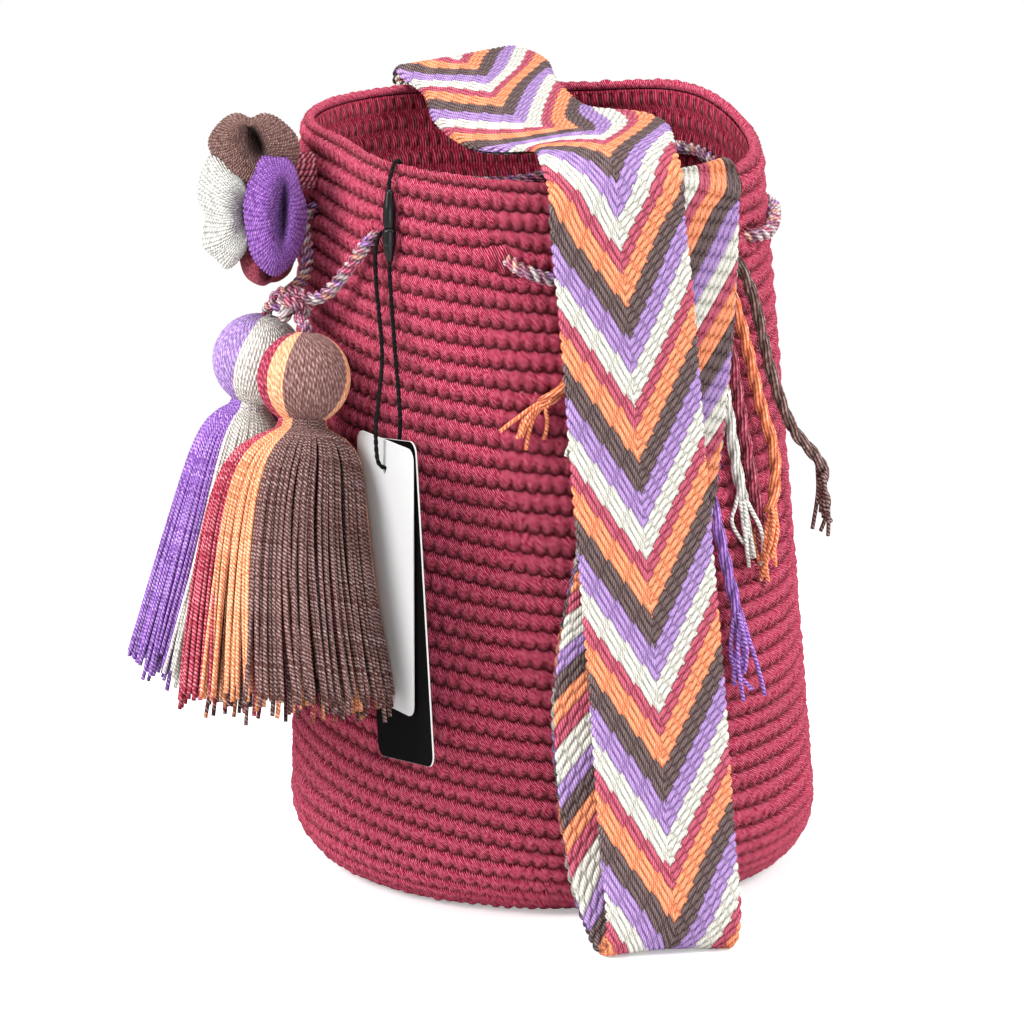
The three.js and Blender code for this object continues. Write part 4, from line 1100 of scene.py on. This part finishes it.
# Colour at an angle in degrees, from a list of where each sector starts and its colour.
def sectorTint(sectors, angle):
    edges = np.array([a for a, _ in sectors])
    which = np.searchsorted(edges, (angle + 180) % 360 - 180, side="right") - 1
    return np.array([yarn[c] for _, c in sectors])[which]


# Moves yarns out of what they hang against: a place inside the wall goes out to its face, and a place
# behind the front of the cards goes forward to it.
def clearOf(paths):
    share = np.clip(paths[..., 2] / bag["height"], 0, 1)
    middle = outward(bag["leanAzimuth"]) * (bag["lean"] * share)[..., None]
    flat = paths[..., :2] - middle[..., :2]
    far = np.linalg.norm(flat, axis=-1)
    least = wallRadius(paths[..., 2]) + 2.6
    paths = paths.copy()
    paths[..., :2] = middle[..., :2] + flat * np.maximum(1, least / far)[..., None]
    local = paths - tagHole
    aside, off = local @ tangent(tags["facing"]), local @ tagNormal
    behind = (np.abs(aside) < tags["width"] / 2 + 1) * (local[..., 2] < tags["holeDrop"] + 1)
    return paths + tagNormal * (np.clip(3.2 - off, 0, 12) * behind)[..., None]


# Head: a ribbed globe of yarns that meet at its poles. Its rings follow the sine of the polar angle, with
# a small lump and a slimmer lower half.
def makeHead(side, kind, top, axis, front, right):
    size = tasselSize
    radius = size["head"] / 2
    pole = np.arcsin(size["pole"] / radius)
    squash = size["headLength"] / 2 / np.cos(pole)
    polar = np.linspace(pole, np.pi - pole, 26)
    cols = size["headYarns"] * size["perYarn"]
    phi = np.arange(cols) / cols * 2 * np.pi
    drift = 0.06 * np.sin(3 * phi)[None, :] * np.sin(polar)[:, None] + 0.12 * np.cos(polar)[:, None]
    rib = roundOver((np.arange(cols) / size["perYarn"]) % 1)
    lump = 1 + 0.02 * np.sin(2 * phi + 1)[None, :] * np.sin(polar)[:, None]
    egg = 1 - 0.06 * np.clip((polar - 1.7) / 1.2, 0, 1) ** 1.5
    ribs = (rib - 0.6)[None, :] * 0.6 * np.clip(np.sin(polar) * 1.3, 0.2, 1)[:, None]
    ring = radius * (np.sin(polar) * egg)[:, None] * lump + ribs
    down = size["headLength"] / 2 - squash * np.cos(polar)
    rows = np.r_[0, np.arange(len(polar)), len(polar) - 1]
    grow = np.r_[0.05, np.ones(len(polar)), 0.05]
    points = around(top + axis * down[rows][:, None, None], front, right, ring[rows] * grow[:, None],
                    (phi[None, :] + drift)[rows])
    faces, corner = gridFaces(len(rows), cols, closeCols=True)
    if np.cross(right, axis) @ front > 0:
        faces, corner = faces[:, ::-1], corner[:, ::-1]
    lay = dice.random(size["headYarns"])[corner[..., 1].min(1, keepdims=True) // size["perYarn"]]
    up = (polar[np.clip(rows, 0, 25)] * radius / 2.8)[corner[..., 0]]
    uv = np.stack([corner[..., 1] / size["perYarn"], up + lay], -1)
    yarnAngle = np.degrees((np.arange(cols) // size["perYarn"] + 0.5) * size["perYarn"] / cols * 2 * np.pi)
    tint = np.tile(sectorTint(kind["head"], yarnAngle), (len(rows), 1))
    head = makePiece(f"{side}_tassel_globe", points, faces, uv, tint, np.tile(0.7 + 0.3 * rib, len(rows)),
                     woundYarn, slot=kind["slot"], body=kind["body"])
    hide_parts(f"{side}_tassel_head")


# Binding: one loose yarn that winds a few times round the neck.
def makeBinding(side, kind, neckTop, axis, front, right):
    t = np.linspace(0, 1, 150)
    loose = 0.5 * np.sin(11 * t) + 0.4 * np.sin(23 * t)
    down = tasselSize["binding"] * 0.3 + 1.2 * np.sin(5 * t) + loose * 0.6
    coil = around(neckTop + axis * down[:, None], front, right, kind["neckRadius"] + 0.5 + loose * 0.4,
                  2 * np.pi * 3.4 * t)
    bundle = yarnBundle(coil[None], 0.7, 6, 3.4, axis, [yarn[kind["neck"]]])
    binding = makePiece(f"{side}_tassel_wrap", *bundle, 1.0, strandYarn, slot=kind["slot"], body=kind["body"])
    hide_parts(f"{side}_tassel_binding")


# Skirt: separate yarns, an outer ring and an inner filling whose deep yarns hang lower. The skirt's width
# rises from the neck as 1 less an exponential of the way down, and widens evenly after that.
def makeSkirt(side, kind, skirtTop, axis, front, right):
    size = tasselSize
    count = size["outer"] + size["inner"]
    isOuter = np.arange(count) < size["outer"]
    angle = np.where(isOuter, np.arange(count) / size["outer"], dice.random(count)) * 2 * np.pi
    angle = angle + dice.normal(0, 0.02, count)
    nearFace = 1 - 0.03 * (np.arange(count) % 2) - np.abs(dice.normal(0, 0.02, count))
    depth = np.where(isOuter, nearFace, np.sqrt(dice.uniform(0.15, 0.92, count)))
    deep = ~isOuter & (depth < 0.8)
    longer = np.where(isOuter, dice.normal(-1, 2.6, count), dice.normal(-3.5, 3.5, count))
    reach = size["skirtLength"] + longer + np.where(deep, 6.0, 0)
    t = np.linspace(0, 1, 21) ** 1.4
    down = -size["rise"] + (reach + size["rise"])[:, None] * t[None, :]
    share = np.clip(down / size["skirtLength"], 0, 2)
    fall = np.clip(down + size["bend"] * 0.7, 0, None)
    full = kind["shoulder"] * (1 - np.exp(-fall / size["bend"])) + kind["widen"] * fall
    out = kind["neckRadius"] * (0.6 + 0.4 * depth)[:, None] + full * depth[:, None]
    sway = dice.normal(0, 1, (count, 4))
    out = out + (sway[:, :1] * 0.9 * np.sin(np.pi * share * 1.3 + sway[:, 1:2])) * share
    swing = angle[:, None] + (0.06 * sway[:, 2:3] * np.sin(2.2 * share + sway[:, 3:4])) * share
    paths = around(skirtTop + axis * down[..., None], front, right, out, swing)
    mixed = np.where(deep, kind["mixed"] * 360 * dice.random(count), 0)
    tints = sectorTint(kind["sectors"], np.degrees(angle) + mixed)
    # painted shade: the inner yarns are darker; each yarn's tone also differs at random
    tints = np.where(isOuter[:, None], tints, tints * 0.78) * (0.92 + 0.25 * dice.random((count, 1)))
    bow = kind["bow"] * np.sin(np.pi * np.clip(share, 0, 1) ** 0.7)
    paths = clearOf(paths + right * bow[..., None])
    away = front * np.cos(swing)[..., None] + right * np.sin(swing)[..., None]
    radius = size["yarn"] * (0.88 + 0.24 * dice.random(count))
    points, faces, uv, tints = yarnBundle(paths, radius, 5, 3.2, away, tints)
    # painted shade: each yarn's corners are darker as they turn from its outside, so dark lines part the
    # yarns
    facing = 0.4 + 0.6 * np.clip(0.25 + 0.85 * np.cos(2 * np.pi * np.arange(5) / 5), 0, 1)
    skirt = makePiece(f"{side}_tassel_yarns", points, faces, uv, tints, np.tile(facing, len(points) // 5),
                      strandYarn, slot=kind["slot"], body=kind["body"])
    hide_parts(f"{side}_tassel_skirt")


# Tassel: head, binding and skirt along one axis, and a stem from the knot.
def makeTassel(side, kind):
    size = tasselSize
    top = hung(*kind["top"])
    axis = unit(hung(*kind["end"]) - top)
    right = unit(viewRight - axis * (viewRight @ axis))
    front = np.cross(right, axis)
    if front @ towardCamera < 0:
        front = -front
    neckTop = top + axis * (size["headLength"] + size["gap"])
    makeHead(side, kind, top, axis, front, right)
    makeBinding(side, kind, neckTop, axis, front, right)
    makeSkirt(side, kind, neckTop + axis * (size["binding"] + size["gap"]), axis, front, right)
    seats = [top - axis * 2.5, top - axis * 0.3, top + axis * 2.0]
    path = evenly([hung(*place) for place in kind["stem"]] + seats, 0.8)
    stem = fleckedCord(f"{side}_tassel_cord", path, 2.5, 0.4, 10.0, (0.3, 0.2, 1), kind["slot"], body=None)
    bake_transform(stem)
    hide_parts(f"{side}_tassel_stem")


for side, kind in tasselKinds.items():
    makeTassel(side, kind)
print("tassels made")


# Knot: the cord tied over itself, a trefoil line pressed into the knot's own three sizes.
def makeKnot():
    t = np.linspace(0, 2 * np.pi, 220)
    wide = 2 + np.cos(3 * t)
    x, y, z = wide * np.cos(2 * t), wide * np.sin(2 * t), np.sin(3 * t)
    aside, out = tangent(knotPlace["azimuth"]), outward(knotPlace["azimuth"])
    path = knotCentre + aside * (3.2 * x)[:, None] + upward * (1.7 * y)[:, None] + out * (4.0 * z)[:, None]
    knot = fleckedCord("tied_knot", path, 3.0, 0.4, 11.0, out + [0.1, 0.1, 0.4], "raspberry_yarn")
    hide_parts("drawstring_knot")


makeKnot()

# Rosette

rosette = dict(azimuth=-15.7, drop=27.3, yarns=66, perYarn=4, front=24, back=10, crease=0.3)
# Each lobe has its place as out, aside and up, and its half sizes as wide, deep and tall. Its crease is a
# short line with a middle, a half length and a turn, in shares of the half sizes as the camera sees them.
# Notches draw its outline in: each has its angle, depth and width.
lobes = dict(
    lilac=dict(place=[22, 21, -2.5], half=[13.4, 15, 25.5], crease=(0.3, 0.12, 0.42, 86),
               notches=[(25, 0.1, 0.3)], colour="shadedLilac"),
    brown=dict(place=[27.5, 3, 21.5], half=[19.2, 21, 16.8], crease=(0.1, 0.4, 0.36, -66),
               notches=[(93, 0.16, 0.2), (200, 0.12, 0.4)], colour="brown"),
    raspberry=dict(place=[22, 3, -24.5], half=[11.5, 17, 10.5], crease=(0.3, -0.1, 0.4, 70),
                   notches=[(-80, 0.1, 0.2)], colour="shadedRaspberry"),
    white=dict(place=[38.6, -1, -3], half=[12.6, 20, 25.0], crease=(0.9, 0.0, 0.2, 90),
               notches=[(190, 0.3, 0.32), (245, 0.1, 0.3)], colour="shadedWhite"),
    orange=dict(place=[25, -21, 0], half=[16, 15, 21], crease=(0.0, 0.0, 0.3, 90), notches=[],
                colour="orange"),
)


# Wound lobe: yarns run from a crease over the crown to the outline and on to the middle of the back.
# Between crease and outline the height is a half sine over a low start, which is lowest at the crease's
# middle; behind the outline it is a flattened ball.
def makeLobe(name, lobe):
    out, aside, up = lobe["place"]
    centre = hung(rosette["azimuth"], out, rosette["drop"]) + tangent(rosette["azimuth"]) * aside
    centre = centre + upward * up
    cols = rosette["yarns"] * rosette["perYarn"]
    alpha = np.arange(cols) / cols * 2 * np.pi
    outline = np.ones(cols)
    for angle, depth, width in lobe["notches"]:
        gap = (alpha - np.radians(angle) + np.pi) % (2 * np.pi) - np.pi
        outline = outline - depth * np.exp(-((gap / width) ** 2))
    outline = outline * (1 + 0.02 * np.sin(3 * alpha + 1) + 0.012 * np.sin(7 * alpha))
    rim = np.stack([np.cos(alpha), np.sin(alpha)], -1) * outline[:, None]
    middleX, middleY, length, turn = lobe["crease"]
    turn = np.radians(turn)
    way = np.array([np.cos(turn), np.sin(turn)])
    along = np.cos(alpha - turn)
    crease = np.array([middleX, middleY]) + way * (length * along)[:, None]
    r = np.linspace(0, 1, rosette["front"])[:, None]
    flat = crease[None] + (rim - crease)[None] * (r ** 0.9)[..., None]
    size = np.clip(np.linalg.norm(rim - crease, axis=1) / 0.9, 0.35, 1.0)
    low = rosette["crease"] + 0.4 * along[None, :] ** 2
    high = low + (1 - low) * np.sin(np.pi * r ** 0.75) * size[None, :]
    high = high * np.sqrt(np.clip(1 - r ** 4, 0, 1))
    b = np.linspace(0, 1, rosette["back"] + 1)[1:, None] * np.pi / 2
    backFlat = rim[None] * np.cos(b)[..., None]
    backHigh = -0.9 * np.sin(b) * np.ones(cols)[None, :]
    flat, high = np.concatenate([flat, backFlat]), np.concatenate([high, backHigh])
    part = (np.arange(cols) / rosette["perYarn"]) % 1
    rib = roundOver(part)
    lift = 1 + 0.032 * (rib - 0.5)[None, :]
    wide, deep, tall = lobe["half"]
    points = (centre + viewRight * (flat[..., 0] * lift * wide)[..., None]
              + upward * (flat[..., 1] * lift * tall)[..., None]
              + towardCamera * (high * lift * deep)[..., None])
    faces, corner = gridFaces(len(points), cols, closeCols=True)
    lay = dice.random(rosette["yarns"])[corner[..., 1].min(1, keepdims=True) // rosette["perYarn"]]
    uv = np.stack([corner[..., 1] / rosette["perYarn"], corner[..., 0] * 0.7 + lay], -1)
    depthShade = np.concatenate([0.45 + 0.55 * np.clip(r / 0.4, 0, 1) * np.ones(cols)[None, :],
                                 np.ones((rosette["back"], cols))])
    shade = depthShade * (0.62 + 0.38 * rib)[None, :]
    piece = makePiece(f"wound_{name}_lobe", points, faces[:, ::-1], uv[:, ::-1], yarn[lobe["colour"]],
                      shade.ravel(), woundYarn, slot=name + "_yarn")
    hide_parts(f"rosette_{name}_lobe")


for name, lobe in lobes.items():
    makeLobe(name, lobe)

rosetteTie = dict(yarns=16, radius=6.4, length=16.0, rise=12.0)


# Tie: a short bundle of yarns between the wall and the lobes.
def makeTie():
    count, radius, length = (rosetteTie[key] for key in ("yarns", "radius", "length"))
    start = hung(rosette["azimuth"], 1.0, rosette["drop"]) + upward * rosetteTie["rise"]
    angle = np.arange(count) / count * 2 * np.pi
    ring = around(start, tangent(rosette["azimuth"]), upward, radius, angle)
    paths = ring[:, None, :] + outward(rosette["azimuth"]) * (length * np.linspace(0, 1, 6))[None, :, None]
    bundle = yarnBundle(paths, 1.5, 6, 4.4, [0, 0.1, 1], np.tile(yarn["shadedRaspberry"], (count, 1)))
    tie = makePiece("rosette_yarn_tie", *bundle, 1.0, strandYarn, slot="raspberry_yarn")
    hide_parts("rosette_tie")


makeTie()
print("rosette made")

# Seal and cards


# Turned shape along the seal's axis from a list of radius and height.
def turnedAlong(name, profile, node):
    profile = np.array(profile, float)
    dense = np.linspace(0, len(profile) - 1, (len(profile) - 1) * 5 + 1)
    profile = np.stack([np.interp(dense, np.arange(len(profile)), profile[:, k]) for k in range(2)], -1)
    angle = np.arange(24) / 24 * 2 * np.pi
    side = unit(np.cross(sealAxis, [1.0, 0, 0]))
    radius = np.maximum(profile[:, 0], 0.01)[:, None]
    middle = sealBottom + sealAxis * profile[:, 1][:, None, None]
    points = around(middle, side, np.cross(sealAxis, side), radius, angle)
    faces, _ = gridFaces(len(profile), 24, closeCols=True)
    piece = makePiece(name, points, faces, None, yarn["black"], 1.0, blackPlastic, slot="black_plastic")
    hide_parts(node)


# Both profiles are in shares of the seal's radius, and of the socket's length or the whole seal's.
sealLength = float(np.linalg.norm(sealTop - sealBottom))
sealJoint, sealRadius = sealLength * 0.46, seal["diameter"] / 2
socketProfile = [(0, 0), (0.45, 0), (0.85, 0.4), (0.85, 0.48), (1, 0.55), (1, 1), (0, 1)]
plugProfile = [(0.95, 0.56), (0.95, 0.74), (0.5, 1), (0, 1)]
turnedAlong("seal_socket_shell", [(sealRadius * r, sealJoint * h) for r, h in socketProfile], "seal_socket")
turnedAlong("seal_plug_shell", [(0, sealJoint + 0.3), (sealRadius * 0.8, sealJoint + 0.3)]
            + [(sealRadius * r, sealLength * h) for r, h in plugProfile], "seal_plug")


# Card: rings of points from the hole out to the round-cornered edge, on the front and the back.
def makeCard(name, length, off, turn, material, face, node, body):
    half, top, corner = tags["width"] / 2, tags["holeDrop"], tags["corner"]
    bottom, bevel = top - length, tags["bevel"]
    arc = np.linspace(0, np.pi / 2, 9)
    x, low, high = half - corner, bottom + corner, top - corner
    corners = ((x, high, 0), (-x, high, np.pi / 2), (-x, low, np.pi), (x, low, 1.5 * np.pi))
    outline = np.concatenate([np.stack([cx + corner * np.cos(arc + q), cy + corner * np.sin(arc + q)], -1)
                              for cx, cy, q in corners])
    way = np.arctan2(outline[:, 1], outline[:, 0])
    hole = tags["hole"] * np.stack([np.cos(way), np.sin(way)], -1)
    thick = tags["thickness"] / 2
    inner = outline - bevel * np.sign(outline)
    rings = [(hole, -thick), (hole, thick), (inner, thick), (outline, thick - bevel),
             (outline, -thick + bevel), (inner, -thick), (hole, -thick)]
    right, angle = tangent(tags["facing"]), np.radians(turn)
    level = right * np.cos(angle) + upward * np.sin(angle)
    steep = -right * np.sin(angle) + upward * np.cos(angle)
    points = np.stack([tagHole + tagNormal * (off + z) + level * ring[:, :1] + steep * ring[:, 1:]
                       for ring, z in rings])
    faces, _ = gridFaces(len(rings), len(outline), closeCols=True)
    tint = np.array([paint(*(tags["core"] if k in (3, 4) else face)) for k in range(len(rings))])
    piece = makePiece(name, points, faces[:, ::-1], None, np.repeat(tint, len(outline), 0), 1.0, material,
                      body=body, slot=body)
    piece.data.polygons.foreach_set("use_smooth", np.zeros(len(faces), bool))
    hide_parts(node)


makeCard("white_card_sheet", tags["whiteLength"], tags["spacing"] / 2, 0.0, whiteCard, tags["white"],
         "white_tag", "white_card")
makeCard("black_card_sheet", tags["blackLength"], -tags["spacing"] / 2, tags["blackTurn"], blackCard,
         tags["black"], "black_tag", "black_card")
print("seal and cards made")

# Floor, light and world

floor = dict(side=6.0, colour=(0.9, 0.9, 0.9, 1.0), glow=0.35, fadeFrom=0.35, fadeOver=0.5)


# Pale floor: what the camera sees of it glows a little, and fades to white with the distance from the bag.
def makeFloor():
    side = floor["side"]
    mesh = bpy.data.meshes.new("floor")
    mesh.from_pydata([(-side, -side, 0), (side, -side, 0), (side, side, 0), (-side, side, 0)], [],
                     [(0, 1, 2, 3)])
    thing = bpy.data.objects.new("floor", mesh)
    bpy.context.scene.collection.objects.link(thing)
    material, tree, shader = newFinish("paleFloor", 1.0, 0.0)
    shader["Base Color"].default_value = floor["colour"]
    plain = tree.nodes["Principled BSDF"].outputs[0]
    ray = addNode(tree, "LightPath").outputs
    seen = sums(tree, "MAXIMUM", ray["Is Camera Ray"], ray["Is Glossy Ray"])
    seen = sums(tree, "MAXIMUM", seen, ray["Is Transmission Ray"])
    glow, white = (addNode(tree, "Emission", Color=pureWhite, Strength=power).outputs[0]
                   for power in (floor["glow"], 1.0))
    both = addNode(tree, "AddShader", _0=plain, _1=glow).outputs[0]
    far = addNode(tree, "VectorMath", operation="LENGTH", _0=addNode(tree, "TexCoord").outputs["Object"])
    fade = sums(tree, "MULTIPLY_ADD", far.outputs["Value"], 1 / floor["fadeOver"],
                -floor["fadeFrom"] / floor["fadeOver"], clamp=True)
    byPlace = addNode(tree, "MixShader", _0=fade, _1=both, _2=white).outputs[0]
    choose = addNode(tree, "MixShader", _0=seen, _1=plain, _2=byPlace).outputs[0]
    tree.links.new(choose, tree.nodes["Material Output"].inputs["Surface"])
    mesh.materials.append(material)


makeFloor()
lights = dict(
    left=dict(azimuth=-4.0, elevation=30.0, distance=1500.0, size=750.0, power=24.0),
    right=dict(azimuth=134.0, elevation=32.0, distance=1500.0, size=900.0, power=19.0),
    top=dict(azimuth=40.0, elevation=82.0, distance=1400.0, size=1100.0, power=16.0),
    low=dict(azimuth=70.0, elevation=3.0, distance=1300.0, size=700.0, power=4.5),
)


# Round soft light at an azimuth and elevation about the bag's middle, which it faces.
def makeLight(name, light):
    way = skyward(light["azimuth"], light["elevation"])
    data = bpy.data.lights.new(name, "AREA")
    data.shape = "DISK"
    data.size = light["size"] * mm
    data.energy = light["power"]
    thing = bpy.data.objects.new(name, data)
    thing.location = Vector((way * light["distance"] * mm + upward * 0.15).tolist())
    thing.rotation_mode = "QUATERNION"
    thing.rotation_quaternion = Vector((-way).tolist()).to_track_quat("-Z", "Y")
    bpy.context.scene.collection.objects.link(thing)


for name, light in lights.items():
    makeLight(name, light)


# World: white to the camera, and half as bright as light.
def makeWorld():
    world = bpy.data.worlds.new("softWorld")
    bpy.context.scene.world = world
    world.use_nodes = True
    tree = world.node_tree
    ground = tree.nodes["Background"]
    ground.inputs["Color"].default_value = pureWhite
    ground.inputs["Strength"].default_value = 0.5
    seen = addNode(tree, "Background", Color=pureWhite, Strength=1.0)
    ray = addNode(tree, "LightPath").outputs
    mix = addNode(tree, "MixShader", _0=ray["Is Camera Ray"], _1=ground.outputs[0], _2=seen.outputs[0])
    tree.links.new(mix.outputs[0], tree.nodes["World Output"].inputs["Surface"])


makeWorld()
bpy.context.scene.view_settings.view_transform = "Standard"
print("lights made")
